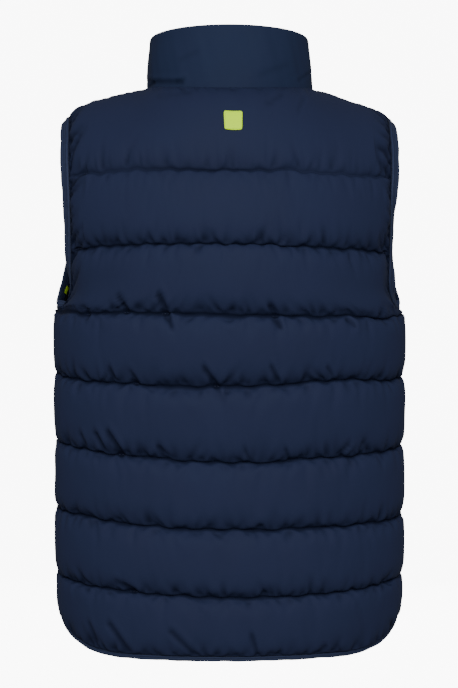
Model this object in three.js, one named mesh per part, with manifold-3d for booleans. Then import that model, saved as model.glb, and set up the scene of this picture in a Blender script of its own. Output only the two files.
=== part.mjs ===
// A quilted vest with a stand collar, zipped up at the front and filled out as when it is worn.
// Millimetres, +Z up. The wearer faces -Y, so +Y is the back and +X is the wearer's left.
// The origin is midway between the neck ends of the two shoulder seams, at their outer height.
import * as THREE from "three";
import Module from "manifold-3d";

// Driving sizes of the garment.
const NECK_HALF_WIDTH = 104;
const NECK_BACK_DEPTH = 84;
const NECK_FRONT_DEPTH = 84;
const NECK_CENTRE_Y = -4;
const NECK_BACK_Z = -12;
const NECK_SIDE_Z = -5;
const NECK_FRONT_Z = -68;
const SHOULDER = { tipX: 197.5, slopeDrop: 24, endDrop: 7.5, endPower: 8 };
const SIDE_SEAM_Y = 4;
const HALF_SEAM_GAP = 0.2;
const ROUNDNESS = 0.88;

// Walls: the lining side is plain, and the padding stands out between the quilting seams.
const SEAM_THICKNESS = 4;
const CHANNEL_HEIGHTS = [8, 11, 11.5, 11.5, 11.5, 11, 11, 9];
const ARMHOLE_PUFF_REACH = 26;
const SIDE_PUFF_REACH = 60;
const ZIP_PUFF_REACH = 20;
const NECK_PUFF_REACH = 16;
const YOKE_SQUARENESS = 3.4;
const CHANNEL_SQUARENESS = 2.5;
const PUFF_SAG = 0.88;

// The armhole: an upright oval whose edge is drawn in between the shoulder and the underarm.
const ARMHOLE = { widestZ: -150, upperReach: 116, lowerReach: 124, backY: 62, frontY: -66, squareness: 2.3 };
// Its front edge spreads to the underarm sooner than its back edge does.
// So the inside shows there from behind.
const ARMHOLE_SPREAD = { narrowZ: -206, upperFlare: 2.5, upperSpan: 88, lowerSpan: 68 };
const ARMHOLE_EDGES = { back: { narrowX: 191.5, curve: 6 }, front: { narrowX: 193, curve: 1 } };
const BINDING_TURN_IN = 34;

// The hem: level across the back, then rising to the side seam in a rounded tail.
const TAIL_TURN_START = 38;
const FRONT_HEM_POWER = 4;

// Trims.
const SEAM_GAP = 0.35;
const ARMHOLE_BINDING = { width: 12.5, thickness: 4.6, gap: 0.65 };
const HEM_BINDING = { width: 7, thickness: 4.6, gap: 0.35 };
const COLLAR = { thickness: 7, bulge: 1.2, skirt: 1.5, roundTop: 1.9 };
const COLLAR_TOP_RING = { halfWidth: 100, backY: 73, frontY: -80 };
const COLLAR_TOP = { backZ: 70, sideDrop: 9, frontDrop: 39, frontDropStart: 70 };
const ZIP_HALF_OPENING = 9;
const TAPE = { inner: 2.9, outer: 8.2, thickness: 1.2, depth: 2.2 };
const CHAIN = { halfWidth: 2.5, thickness: 2.2 };
const PATCH = { width: 22, height: 25, corner: 3, thickness: 1, x: 0, z: -53, gap: 0.35 };
const INNER_TAB = { place: 2.55, width: 7, height: 12, thickness: 0.8, outward: 4.7, gap: 0.75 };

// One row for each quilting seam, from the yoke's lower seam down, and the hem last.
// The heights and depths are those of the lining on the centre lines.
// endZ is the row's height at the armhole edge or side seam, and halfWidth is its reach there.
// Above the underarm the armhole's edge takes the place of halfWidth.
// turn is how far round the body the row runs, in degrees.
const SECTIONS = [
  { backZ: -115, backY: 126, frontZ: -130, frontY: -112, endZ: -118, halfWidth: 212, turn: 52 },
  { backZ: -200, backY: 139, frontZ: -212, frontY: -136, endZ: -206, halfWidth: 212, turn: 56 },
  { backZ: -284, backY: 140, frontZ: -294, frontY: -145, endZ: -274, halfWidth: 211.5, turn: 90 },
  { backZ: -367, backY: 135, frontZ: -372, frontY: -143, endZ: -355, halfWidth: 212, turn: 90 },
  { backZ: -457, backY: 131, frontZ: -455, frontY: -138, endZ: -438, halfWidth: 211.3, turn: 90 },
  { backZ: -534, backY: 133, frontZ: -534, frontY: -136, endZ: -522, halfWidth: 211.2, turn: 90 },
  { backZ: -615, backY: 137, frontZ: -612, frontY: -135, endZ: -602, halfWidth: 209.8, turn: 90 },
  { backZ: -685, backY: 139, frontZ: -646, frontY: -133, endZ: -626, halfWidth: 208.3, turn: 90 },
];
const HEM = SECTIONS.length;
const UNDERARM = 3;

// How finely the surfaces are divided.
const CHANNEL_STEPS = [0.1, 0.28, 0.54, 0.82, 1];
const SCOOP_STEPS = [0.1, 0.25, 0.42, 0.6, 0.76, 0.9, 1];
const NECK_COLUMNS = 9;
const SHOULDER_COLUMNS = 9;
const NECK_SHARE = 0.56;
const EDGE_CROWDING = 1.5;
const LINING_STRIDE = 3;

const NAVY = new THREE.MeshStandardMaterial({ color: 0x232e47, roughness: 0.6, metalness: 0 });
const BINDING_NAVY = new THREE.MeshStandardMaterial({ color: 0x1d2739, roughness: 0.75, metalness: 0 });
const ZIP_NAVY = new THREE.MeshStandardMaterial({ color: 0x161d2c, roughness: 0.5, metalness: 0 });
const ZIP_METAL = new THREE.MeshStandardMaterial({ color: 0x2a2d33, roughness: 0.35, metalness: 0.8 });
const LIME = new THREE.MeshStandardMaterial({ color: 0xd1e279, roughness: 0.6, metalness: 0 });

const radians = THREE.MathUtils.degToRad;
const clamp = THREE.MathUtils.clamp;
const smooth = (x, a, b) => THREE.MathUtils.smoothstep(x, a, b);
const point = (x, y, z) => new THREE.Vector3(x, y, z);

// A smooth curve through one column of the sections, at a place counted in seams.
function sectionValue(column, place) {
  const at = clamp(place, 1, HEM) - 1;
  const row = Math.min(Math.floor(at), HEM - 2);
  const value = (i) => SECTIONS[clamp(i, 0, HEM - 1)][column];
  const t = at - row;
  const rise = value(row + 1) - value(row);
  const startSlope = row > 0 ? (value(row + 1) - value(row - 1)) / 2 : rise;
  const endSlope = row < HEM - 2 ? (value(row + 2) - value(row)) / 2 : rise;
  return (
    value(row) +
    t * startSlope +
    t * t * (3 * rise - 2 * startSlope - endSlope) +
    t * t * t * (startSlope + endSlope - 2 * rise)
  );
}

function straightValue(column, place) {
  const row = Math.min(Math.floor(place), HEM - 1);
  const a = SECTIONS[row - 1][column];
  return a + (SECTIONS[row][column] - a) * (place - row);
}

// Where a row ends: on the armhole edge above the underarm, on the side seam below it.
function rowEnd(back, place) {
  const seamY = SIDE_SEAM_Y + (back ? HALF_SEAM_GAP : -HALF_SEAM_GAP);
  if (place >= UNDERARM) {
    return { x: sectionValue("halfWidth", place), y: seamY, z: straightValue("endZ", place), turn: 90 };
  }
  const scoop = place - (UNDERARM - 1);
  const upper = SECTIONS[UNDERARM - 2];
  const lower = SECTIONS[UNDERARM - 1];
  const z =
    scoop <= 0
      ? straightValue("endZ", place)
      : upper.endZ + (lower.endZ - upper.endZ) * Math.sin((scoop * Math.PI) / 2);
  const turn =
    scoop <= 0 ? straightValue("turn", place) : upper.turn + (lower.turn - upper.turn) * Math.pow(scoop, 1.5);
  const reach = z > ARMHOLE.widestZ ? ARMHOLE.upperReach : ARMHOLE.lowerReach;
  const fromWidest = Math.abs(z - ARMHOLE.widestZ) / reach;
  const open = Math.pow(1 - Math.pow(Math.min(fromWidest, 1), ARMHOLE.squareness), 1 / ARMHOLE.squareness);
  const edge = back ? ARMHOLE_EDGES.back : ARMHOLE_EDGES.front;
  const below = (ARMHOLE_SPREAD.narrowZ - z) / ARMHOLE_SPREAD.lowerSpan;
  const above = (z - ARMHOLE_SPREAD.narrowZ) / ARMHOLE_SPREAD.upperSpan;
  const flare =
    below > 0
      ? (lower.halfWidth - edge.narrowX) * Math.pow(below, edge.curve)
      : ARMHOLE_SPREAD.upperFlare * above * above;
  const widestY = back ? ARMHOLE.backY : ARMHOLE.frontY;
  return { x: edge.narrowX + flare, y: seamY + (widestY - seamY) * open, z, turn };
}

// A point of the lining on a row below the yoke: across is 0 at the centre line and 1 at the row's end.
function rowPoint(back, across, place) {
  const end = rowEnd(back, place);
  const centreY = sectionValue(back ? "backY" : "frontY", place);
  const centreZ = sectionValue(back ? "backZ" : "frontZ", place);
  const turn = radians(end.turn);
  const reachX = end.x / Math.sin(turn);
  const left = Math.pow(Math.max(Math.cos(turn), 0), ROUNDNESS);
  const reachY = (centreY - end.y) / (1 - left);
  const start = back ? 0 : Math.asin(ZIP_HALF_OPENING / reachX);
  const angle = start + (turn - start) * across;
  const share = Math.pow(Math.sin(angle) / Math.sin(turn), 2);
  const tailStart = radians(TAIL_TURN_START);
  const tailShare = back
    ? Math.pow(clamp((angle - tailStart) / (turn - tailStart), 0, 1), 2)
    : Math.pow(share, FRONT_HEM_POWER / 2);
  const hemShare = clamp(place - (HEM - 1), 0, 1);
  return point(
    reachX * Math.sin(angle),
    end.y + reachY * (Math.pow(Math.max(Math.cos(angle), 0), ROUNDNESS) - left),
    centreZ + (end.z - centreZ) * (share * (1 - hemShare) + tailShare * hemShare),
  );
}

// The neckline, by its angle from the centre back: 180 degrees is the centre front.
function necklinePoint(angle) {
  const depth = angle < Math.PI / 2 ? NECK_BACK_DEPTH : NECK_FRONT_DEPTH;
  const rise = Math.pow(angle < Math.PI / 2 ? Math.sin(angle) : Math.cos(angle), 2);
  const z =
    angle < Math.PI / 2
      ? NECK_BACK_Z + (NECK_SIDE_Z - NECK_BACK_Z) * rise
      : NECK_SIDE_Z + (NECK_FRONT_Z - NECK_SIDE_Z) * rise;
  return point(NECK_HALF_WIDTH * Math.sin(angle), NECK_CENTRE_Y + depth * Math.cos(angle), z);
}

function necklineAngle(back, across) {
  const side = Math.PI / 2;
  const centre = back ? 0 : Math.PI - Math.asin(ZIP_HALF_OPENING / NECK_HALF_WIDTH);
  return centre + (side - centre) * (across / NECK_SHARE);
}

// The yoke's upper edge: half the neckline, and then the shoulder seam.
function yokeTop(back, across) {
  const seamShift = back ? HALF_SEAM_GAP : -HALF_SEAM_GAP;
  const neckEnd = necklinePoint(Math.PI / 2);
  if (across < NECK_SHARE) {
    const p = necklinePoint(necklineAngle(back, across));
    p.y += (seamShift * across) / NECK_SHARE;
    return p;
  }
  const along = (across - NECK_SHARE) / (1 - NECK_SHARE);
  return point(
    neckEnd.x + (SHOULDER.tipX - neckEnd.x) * along,
    neckEnd.y + seamShift,
    neckEnd.z - SHOULDER.slopeDrop * along - SHOULDER.endDrop * Math.pow(along, SHOULDER.endPower),
  );
}

// A point of the lining. The yoke, from 0 to 1, runs over the shoulder from its upper edge to the first seam.
function liningPoint(back, across, place) {
  if (place >= 1) return rowPoint(back, across, place);
  const top = yokeTop(back, across);
  const seam = rowPoint(back, across, 1);
  const chord = seam.clone().sub(top);
  const length = chord.length();
  const topSlope = point(chord.x, chord.y, 0.35 * chord.z).setLength(length * 1.1);
  const seamSlope = rowPoint(back, across, 1.03).sub(seam).setLength(length);
  const t = place;
  const fromTop = (1 + 2 * t) * (1 - t) * (1 - t);
  return top
    .multiplyScalar(fromTop)
    .addScaledVector(topSlope, t * (1 - t) * (1 - t))
    .addScaledVector(seam, 1 - fromTop)
    .addScaledVector(seamSlope, t * t * (t - 1));
}

const SMALL_STEP = 0.004;

// The outward direction of the wall.
function wallNormal(back, across, place) {
  const a = clamp(across, SMALL_STEP, 1 - SMALL_STEP);
  const p = clamp(place, SMALL_STEP, HEM - SMALL_STEP);
  const along = liningPoint(back, a + SMALL_STEP, p).sub(liningPoint(back, a - SMALL_STEP, p));
  const down = liningPoint(back, a, p + SMALL_STEP).sub(liningPoint(back, a, p - SMALL_STEP));
  const normal = down.cross(along).normalize();
  return back ? normal.negate() : normal;
}

// A quarter-round rise over a given reach.
const quarterRound = (distance, reach) => Math.sqrt(1 - Math.pow(1 - clamp(distance / reach, 0, 1), 2));

// About how far a point lies outside the neckline, seen from above.
function fromNeckline(p) {
  const ratio = Math.hypot(p.x / NECK_HALF_WIDTH, (p.y - NECK_CENTRE_Y) / NECK_BACK_DEPTH);
  return (ratio - 1) * NECK_BACK_DEPTH;
}

// How far the padding stands out of the wall. The crown is a little above the middle of its channel.
function puff(back, across, place) {
  const channel = Math.min(Math.floor(place), HEM - 1);
  const t = Math.pow(place - channel, PUFF_SAG);
  const squareness = channel === 0 ? YOKE_SQUARENESS : CHANNEL_SQUARENESS;
  const arch = Math.pow(1 - Math.pow(Math.abs(2 * t - 1), squareness), 0.7);
  const edge = liningPoint(back, 1, place);
  const here = liningPoint(back, across, place);
  const fromEdge = here.distanceTo(edge);
  const onSide = smooth(place, UNDERARM - 0.4, UNDERARM + 0.3);
  const sideRise =
    quarterRound(fromEdge, ARMHOLE_PUFF_REACH) * (1 - onSide) + smooth(fromEdge, 0, SIDE_PUFF_REACH) * onSide;
  const zipRise = back ? 1 : quarterRound(Math.abs(here.x) - ZIP_HALF_OPENING, ZIP_PUFF_REACH);
  const neckRise = channel === 0 ? quarterRound(fromNeckline(here), NECK_PUFF_REACH) : 1;
  return CHANNEL_HEIGHTS[channel] * arch * sideRise * zipRise * neckRise;
}

function outerPoint(back, across, place, lift = 0) {
  const out = SEAM_THICKNESS + puff(back, across, place) + lift;
  return liningPoint(back, across, place).addScaledVector(wallNormal(back, across, place), out);
}

// Columns are spaced evenly over the neckline and crowd towards the armhole and the side seam.
function columnPlaces() {
  const places = [];
  for (let i = 0; i <= NECK_COLUMNS; i++) places.push((NECK_SHARE * i) / NECK_COLUMNS);
  for (let i = 1; i <= SHOULDER_COLUMNS; i++) {
    const left = Math.pow(1 - i / SHOULDER_COLUMNS, EDGE_CROWDING);
    places.push(NECK_SHARE + (1 - NECK_SHARE) * (1 - left));
  }
  return places;
}

function rowPlaces() {
  const places = [0];
  for (let channel = 0; channel < HEM; channel++) {
    const steps = channel === UNDERARM - 1 ? SCOOP_STEPS : CHANNEL_STEPS;
    for (const step of steps) places.push(channel + step);
  }
  return places;
}

const mirrored = (p) => point(-p.x, p.y, p.z);

// Collects triangles and turns them into a closed mesh that faces outwards.
class SolidBuilder {
  constructor() {
    this.triangles = [];
  }

  triangle(a, b, c) {
    this.triangles.push(a, b, c);
  }

  // A quad is split along its shorter diagonal.
  quad(a, b, c, d) {
    if (a.distanceToSquared(c) <= b.distanceToSquared(d)) {
      this.triangle(a, b, c);
      this.triangle(a, c, d);
    } else {
      this.triangle(a, b, d);
      this.triangle(b, c, d);
    }
  }

  // The band between two closed loops of {p, at}, paired by how far round they are.
  band(outer, inner) {
    let i = 0;
    let j = 0;
    const onOuter = (k) => outer[k % outer.length].p;
    const onInner = (k) => inner[k % inner.length].p;
    const nextOuter = () => (i + 1 < outer.length ? outer[i + 1].at : 4);
    const nextInner = () => (j + 1 < inner.length ? inner[j + 1].at : 4);
    while (i < outer.length || j < inner.length) {
      if (j >= inner.length || (i < outer.length && nextOuter() <= nextInner())) {
        this.triangle(onOuter(i), onOuter(i + 1), onInner(j));
        i++;
      } else {
        this.triangle(onOuter(i), onInner(j + 1), onInner(j));
        j++;
      }
    }
  }

  geometry() {
    let volume = 0;
    const t = this.triangles;
    for (let i = 0; i < t.length; i += 3) volume += t[i].dot(t[i + 1].clone().cross(t[i + 2]));
    if (volume < 0) for (let i = 0; i < t.length; i += 3) [t[i + 1], t[i + 2]] = [t[i + 2], t[i + 1]];
    const made = new THREE.BufferGeometry().setFromPoints(t);
    made.computeVertexNormals();
    return made;
  }
}

// The edge of a grid as a closed loop, clockwise from its first corner, each side counting 1.
function gridLoop(grid, rows, columns) {
  const loop = [];
  const lastRow = rows.length - 1;
  const lastColumn = columns.length - 1;
  const rowShare = (r) => (rows[r] - rows[0]) / (rows[lastRow] - rows[0]);
  const columnShare = (c) => (columns[c] - columns[0]) / (columns[lastColumn] - columns[0]);
  for (let c = 0; c < lastColumn; c++) loop.push({ p: grid[rows[0]][columns[c]], at: columnShare(c) });
  for (let r = 0; r < lastRow; r++) loop.push({ p: grid[rows[r]][columns[lastColumn]], at: 1 + rowShare(r) });
  for (let c = lastColumn; c > 0; c--) {
    loop.push({ p: grid[rows[lastRow]][columns[c]], at: 3 - columnShare(c) });
  }
  for (let r = lastRow; r > 0; r--) loop.push({ p: grid[rows[r]][columns[0]], at: 4 - rowShare(r) });
  return loop;
}

const counted = (n) => Array.from({ length: n }, (_, i) => i);

// Every third line of a grid, inside its edge.
function thinned(n) {
  const kept = [];
  for (let i = 1; i < n - 1; i += LINING_STRIDE) kept.push(i);
  if (kept[kept.length - 1] !== n - 2) kept.push(n - 2);
  return kept;
}

// A closed wall from an outer grid and a lining grid of the same size.
// The lining is plain, so it takes fewer faces.
function wall(outer, lining) {
  const builder = new SolidBuilder();
  const rows = counted(outer.length);
  const columns = counted(outer[0].length);
  for (let r = 0; r + 1 < rows.length; r++) {
    for (let c = 0; c + 1 < columns.length; c++) {
      builder.quad(outer[r][c], outer[r + 1][c], outer[r + 1][c + 1], outer[r][c + 1]);
    }
  }
  const outerLoop = gridLoop(outer, rows, columns);
  const liningLoop = gridLoop(lining, rows, columns);
  outerLoop.forEach((here, i) => {
    const next = (i + 1) % outerLoop.length;
    builder.quad(here.p, outerLoop[next].p, liningLoop[next].p, liningLoop[i].p);
  });
  const keptRows = thinned(rows.length);
  const keptColumns = columns.slice(1, -1);
  builder.band(liningLoop, gridLoop(lining, keptRows, keptColumns));
  for (let r = 0; r + 1 < keptRows.length; r++) {
    for (let c = 0; c + 1 < keptColumns.length; c++) {
      const [r0, r1, c0, c1] = [keptRows[r], keptRows[r + 1], keptColumns[c], keptColumns[c + 1]];
      builder.quad(lining[r0][c0], lining[r0][c1], lining[r1][c1], lining[r1][c0]);
    }
  }
  return builder.geometry();
}

// A swept strip: each station is a closed section of the same number of points.
function sweep(stations, closed) {
  const builder = new SolidBuilder();
  const count = stations.length;
  for (let i = 0; i < (closed ? count : count - 1); i++) {
    const here = stations[i];
    const next = stations[(i + 1) % count];
    here.forEach((p, k) => {
      const l = (k + 1) % here.length;
      builder.quad(p, next[k], next[l], here[l]);
    });
  }
  if (!closed) {
    const [first, last] = [stations[0], stations[count - 1]];
    for (let k = 1; k + 1 < first.length; k++) {
      builder.triangle(first[0], first[k], first[k + 1]);
      builder.triangle(last[0], last[k + 1], last[k]);
    }
  }
  return builder.geometry();
}

function named(name, geometry, material) {
  const mesh = new THREE.Mesh(geometry, material);
  mesh.name = name;
  return mesh;
}

// Panels.
function halfGrid(back, place) {
  return rowPlaces().map((row) => columnPlaces().map((column) => place(back, column, row)));
}

function backPanel() {
  const whole = (half) => half.map((row) => [...row.slice(1).reverse().map(mirrored), ...row]);
  return wall(whole(halfGrid(true, outerPoint)), whole(halfGrid(true, liningPoint)));
}

function frontPanel(turnOver) {
  const side = (grid) => (turnOver ? grid.map((row) => row.map(mirrored)) : grid);
  return wall(side(halfGrid(false, outerPoint)), side(halfGrid(false, liningPoint)));
}

// The folded binding's section, from the panel's edge outwards: across its width and through its thickness.
const BINDING_SECTION = [
  { across: 0, through: 0.02 },
  { across: 0, through: 0.98 },
  { across: 0.45, through: 1.06 },
  { across: 0.86, through: 0.92 },
  { across: 1, through: 0.5 },
  { across: 0.86, through: 0.08 },
  { across: 0.45, through: -0.06 },
];

// Sections of a binding along an edge of {p, normal}, standing out beyond the edge.
function bindingStations(edge, size, closed) {
  const count = edge.length;
  return edge.map(({ p, normal, turnIn = 0 }, i) => {
    const before = edge[closed ? (i - 1 + count) % count : Math.max(i - 1, 0)].p;
    const after = edge[closed ? (i + 1) % count : Math.min(i + 1, count - 1)].p;
    const along = after.clone().sub(before).normalize();
    const outward = normal.clone().cross(along);
    const start = p.clone().addScaledVector(outward, size.gap);
    const faces = normal.clone().applyAxisAngle(along, -turnIn);
    outward.applyAxisAngle(along, -turnIn);
    return BINDING_SECTION.map(({ across, through }) =>
      start
        .clone()
        .addScaledVector(outward, across * size.width)
        .addScaledVector(faces, through * size.thickness),
    );
  });
}

const edgeStation = (back, across, place) => ({
  p: liningPoint(back, across, place),
  normal: wallNormal(back, across, place),
});

// The armhole's edge, from the underarm up the back, over the shoulder and down the front.
function armholeEdge() {
  const places = rowPlaces().filter((place) => place <= UNDERARM);
  const up = places.slice().reverse();
  const middle = (a, b) => ({
    p: a.p.clone().lerp(b.p, 0.5),
    normal: a.normal.clone().add(b.normal).normalize(),
  });
  const turnedIn = (place) => {
    const below = smooth(place, UNDERARM - 1, UNDERARM - 0.5);
    return below * (1 - smooth(place, UNDERARM - 0.2, UNDERARM));
  };
  const backEdge = up.map((place) => ({
    ...edgeStation(true, 1, place),
    turnIn: radians(BINDING_TURN_IN) * turnedIn(place),
  }));
  const frontEdge = places.map((place) => edgeStation(false, 1, place));
  const shoulder = middle(backEdge[backEdge.length - 1], frontEdge[0]);
  const underarm = middle(backEdge[0], frontEdge[frontEdge.length - 1]);
  return [underarm, ...backEdge.slice(1, -1), shoulder, ...frontEdge.slice(1, -1)];
}

function armholeBinding(turnOver) {
  const stations = bindingStations(armholeEdge(), ARMHOLE_BINDING, true);
  return sweep(turnOver ? stations.map((section) => section.map(mirrored)) : stations, true);
}

// A small lime tab inside the left armhole, behind the binding of the front edge just above the underarm.
function innerTab() {
  const { place, width, height, thickness, outward, gap } = INNER_TAB;
  const { p, normal } = edgeStation(false, 1, place);
  const along = liningPoint(false, 1, place + SMALL_STEP).sub(liningPoint(false, 1, place - SMALL_STEP));
  const out = normal.clone().cross(along.normalize());
  p.addScaledVector(out, outward).addScaledVector(normal, -gap - thickness / 2);
  const plate = new THREE.BoxGeometry(width, thickness, height);
  return plate.applyMatrix4(new THREE.Matrix4().makeBasis(out, normal, along).setPosition(p));
}

// The hem's edge, from the zip round the wearer's left side and the back to the zip again.
function hemEdge() {
  const columns = columnPlaces();
  const flipped = ({ p, normal }) => ({ p: mirrored(p), normal: mirrored(normal) });
  const half = [
    ...columns.slice(0, -1).map((across) => edgeStation(false, across, HEM)),
    ...columns.slice(1, -1).reverse().map((across) => edgeStation(true, across, HEM)),
  ];
  const side = edgeStation(true, 1, HEM);
  side.p.y = SIDE_SEAM_Y;
  half.splice(columns.length - 1, 0, side);
  return [...half, edgeStation(true, 0, HEM), ...half.slice().reverse().map(flipped)].reverse();
}

function hemBinding() {
  return sweep(bindingStations(hemEdge(), HEM_BINDING, false), false);
}

// Collar: a padded wall that stands on the neckline, open at the zip.
function collarTopZ(angle) {
  const degrees = THREE.MathUtils.radToDeg(angle);
  const front = smooth(degrees, COLLAR_TOP.frontDropStart, 180) * COLLAR_TOP.frontDrop;
  return COLLAR_TOP.backZ - COLLAR_TOP.sideDrop * (1 - Math.cos(angle)) - front;
}

function collarPoint(angle, height, depth) {
  const base = necklinePoint(angle);
  const outward = point(base.x / NECK_HALF_WIDTH ** 2, (base.y - NECK_CENTRE_Y) / NECK_BACK_DEPTH ** 2, 0);
  outward.normalize();
  const topY = Math.cos(angle) > 0 ? COLLAR_TOP_RING.backY : -COLLAR_TOP_RING.frontY;
  const topX = COLLAR_TOP_RING.halfWidth * Math.sin(angle);
  const top = point(topX, topY * Math.cos(angle), collarTopZ(angle));
  base.z -= COLLAR.skirt;
  base.addScaledVector(outward, -SEAM_GAP);
  const bulge = COLLAR.bulge * Math.pow(Math.sin(Math.PI * height), 2);
  return base.lerp(top, height).addScaledVector(outward, bulge - depth);
}

function collar() {
  const rows = [
    { height: 0, inset: 0 },
    { height: 0.16, inset: 0 },
    { height: 0.4, inset: 0 },
    { height: 0.66, inset: 0 },
    { height: 0.88, inset: 0 },
    { height: 0.965, inset: 0.5 },
    { height: 1, inset: COLLAR.roundTop },
  ];
  const across = columnPlaces().filter((place) => place <= NECK_SHARE + 1e-9);
  const angles = [
    ...across.map((place) => necklineAngle(false, place)),
    ...across.slice(0, -1).reverse().map((place) => necklineAngle(true, place)),
  ];
  const whole = (line) => [...line, ...line.slice(0, -1).reverse().map(mirrored)];
  const row = (height, depth) => whole(angles.map((angle) => collarPoint(angle, height, depth)));
  const layer = (depth, side) => rows.map(({ height, inset }) => row(height, depth + side * inset));
  return wall(layer(0, 1).reverse(), layer(COLLAR.thickness, -1).reverse());
}

// The zip's line on the centre front, as {y, z} from the hem up over the collar.
function zipLine() {
  const line = rowPlaces()
    .slice(1)
    .reverse()
    .map((place) => liningPoint(false, 0, place));
  line.unshift(liningPoint(false, 0, HEM).add(point(0, 0, -HEM_BINDING.width)));
  const frontAngle = necklineAngle(false, 0);
  for (const height of [0.12, 0.35, 0.6, 0.8, 0.97]) {
    line.push(collarPoint(frontAngle, height, SEAM_THICKNESS));
  }
  return line.map((p) => new THREE.Vector2(p.y, p.z));
}

// The same line moved forwards, square to itself.
function offsetLine(line, distance) {
  return line.map((p, i) => {
    const along = line[Math.min(i + 1, line.length - 1)].clone().sub(line[Math.max(i - 1, 0)]).normalize();
    return p.clone().add(new THREE.Vector2(-along.y, along.x).multiplyScalar(distance));
  });
}

// A strip of the zip: its side outline in Y and Z, drawn out across X.
function zipStrip(line, fromX, toX, thickness) {
  const front = offsetLine(line, TAPE.depth + thickness / 2);
  const rear = offsetLine(line, TAPE.depth - thickness / 2);
  const outline = new THREE.Shape([...front, ...rear.reverse()]);
  const made = new THREE.ExtrudeGeometry(outline, { depth: toX - fromX, bevelEnabled: false });
  // The outline's own X and Y become Y and Z, and its depth becomes X.
  const turned = new THREE.Matrix4().makeBasis(point(0, 1, 0), point(0, 0, 1), point(1, 0, 0));
  return made.applyMatrix4(turned).translate(fromX, 0, 0);
}

const wasm = await Module();
wasm.setup();

function solidOf(geometry) {
  const flat = geometry.index ? geometry.toNonIndexed() : geometry;
  const corners = flat.getAttribute("position");
  const seen = new Map();
  const vertices = [];
  const triangles = [];
  for (let i = 0; i < corners.count; i++) {
    const p = [corners.getX(i), corners.getY(i), corners.getZ(i)];
    const key = p.map((v) => v.toFixed(4)).join();
    if (!seen.has(key)) {
      seen.set(key, vertices.length / 3);
      vertices.push(...p);
    }
    triangles.push(seen.get(key));
  }
  const mesh = new wasm.Mesh({
    numProp: 3,
    vertProperties: new Float32Array(vertices),
    triVerts: new Uint32Array(triangles),
  });
  return new wasm.Manifold(mesh);
}

function geometryOf(solid) {
  const mesh = solid.getMesh();
  const made = new THREE.BufferGeometry();
  made.setAttribute("position", new THREE.BufferAttribute(mesh.vertProperties, 3));
  made.setIndex(new THREE.BufferAttribute(mesh.triVerts, 1));
  return made;
}

const boxAt = (w, d, h, x, y, z) => new THREE.BoxGeometry(w, d, h).translate(x, y, z);

// A flat outline with rounded corners, standing in the X-Z plane and centred on y = 0.
function roundedPlate(width, height, corner, thickness, holes = []) {
  const shape = new THREE.Shape();
  const [w, h] = [width / 2, height / 2];
  shape.moveTo(-w + corner, -h);
  shape.lineTo(w - corner, -h);
  shape.absarc(w - corner, -h + corner, corner, -Math.PI / 2, 0);
  shape.lineTo(w, h - corner);
  shape.absarc(w - corner, h - corner, corner, 0, Math.PI / 2);
  shape.lineTo(-w + corner, h);
  shape.absarc(-w + corner, h - corner, corner, Math.PI / 2, Math.PI);
  shape.lineTo(-w, -h + corner);
  shape.absarc(-w + corner, -h + corner, corner, Math.PI, Math.PI * 1.5);
  shape.holes.push(...holes);
  const made = new THREE.ExtrudeGeometry(shape, { depth: thickness, bevelEnabled: false, curveSegments: 4 });
  return made.translate(0, 0, -thickness / 2).rotateX(Math.PI / 2);
}

// The slider: two plates with the chain between them, a post where the tapes part, and a bail for the pull.
const SLIDER = { width: 8.6, length: 11, plate: 1.4, clearance: 0.35, onLine: 0.72 };
const SLIDER_POST = { width: 2.6, length: 2 };
const BAIL = { width: 2, height: 2.4, bridge: 0.9, foot: 1.1, half: 3.4 };
const PULL = { width: 6.4, length: 25, thickness: 1.2, hole: 3.6, holeLength: 4.8, corner: 1.6 };
const PLATE_BACK = CHAIN.thickness / 2 + SLIDER.clearance;
const PLATE_FRONT = PLATE_BACK + SLIDER.plate;
const PIVOT_FORWARD = PLATE_FRONT + BAIL.height / 2;

function slider() {
  const plate = (y) => roundedPlate(SLIDER.width, SLIDER.length, 2, SLIDER.plate).translate(0, y, 0);
  const middle = PLATE_BACK + SLIDER.plate / 2;
  const postZ = SLIDER.length / 2 - SLIDER_POST.length / 2;
  const bridgeY = -(PLATE_FRONT + BAIL.height + BAIL.bridge / 2);
  const footY = -(PLATE_FRONT + (BAIL.height + BAIL.bridge) / 2);
  const footHeight = BAIL.height + BAIL.bridge + 0.4;
  const footZ = BAIL.half - BAIL.foot / 2;
  const pieces = [
    plate(-middle),
    plate(middle),
    boxAt(SLIDER_POST.width, 2 * middle, SLIDER_POST.length, 0, 0, postZ),
    boxAt(BAIL.width, BAIL.bridge, 2 * BAIL.half, 0, bridgeY, 0),
    boxAt(BAIL.width, footHeight, BAIL.foot, 0, footY + 0.2, footZ),
    boxAt(BAIL.width, footHeight, BAIL.foot, 0, footY + 0.2, -footZ),
  ];
  return geometryOf(pieces.map(solidOf).reduce((whole, piece) => whole.add(piece)));
}

// The pull hangs from its upper bar, which is its own origin.
function pullTab() {
  const top = PULL.thickness / 2;
  const holeTop = PULL.length / 2 - PULL.thickness;
  const hole = new THREE.Path();
  hole.moveTo(-PULL.hole / 2, holeTop);
  hole.lineTo(-PULL.hole / 2, holeTop - PULL.holeLength);
  hole.lineTo(PULL.hole / 2, holeTop - PULL.holeLength);
  hole.lineTo(PULL.hole / 2, holeTop);
  hole.closePath();
  const plate = roundedPlate(PULL.width, PULL.length, PULL.corner, PULL.thickness, [hole]);
  return plate.translate(0, 0, top - PULL.length / 2);
}

// Where the slider stands on the zip's line, and how far the line leans there.
function sliderSeat(line) {
  const from = line[line.length - 3];
  const to = line[line.length - 2];
  const along = to.clone().sub(from).normalize();
  const at = from.clone().lerp(to, SLIDER.onLine);
  at.add(new THREE.Vector2(-along.y, along.x).multiplyScalar(TAPE.depth));
  return { y: at.x, z: at.y, lean: Math.atan2(along.x, along.y) };
}

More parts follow.
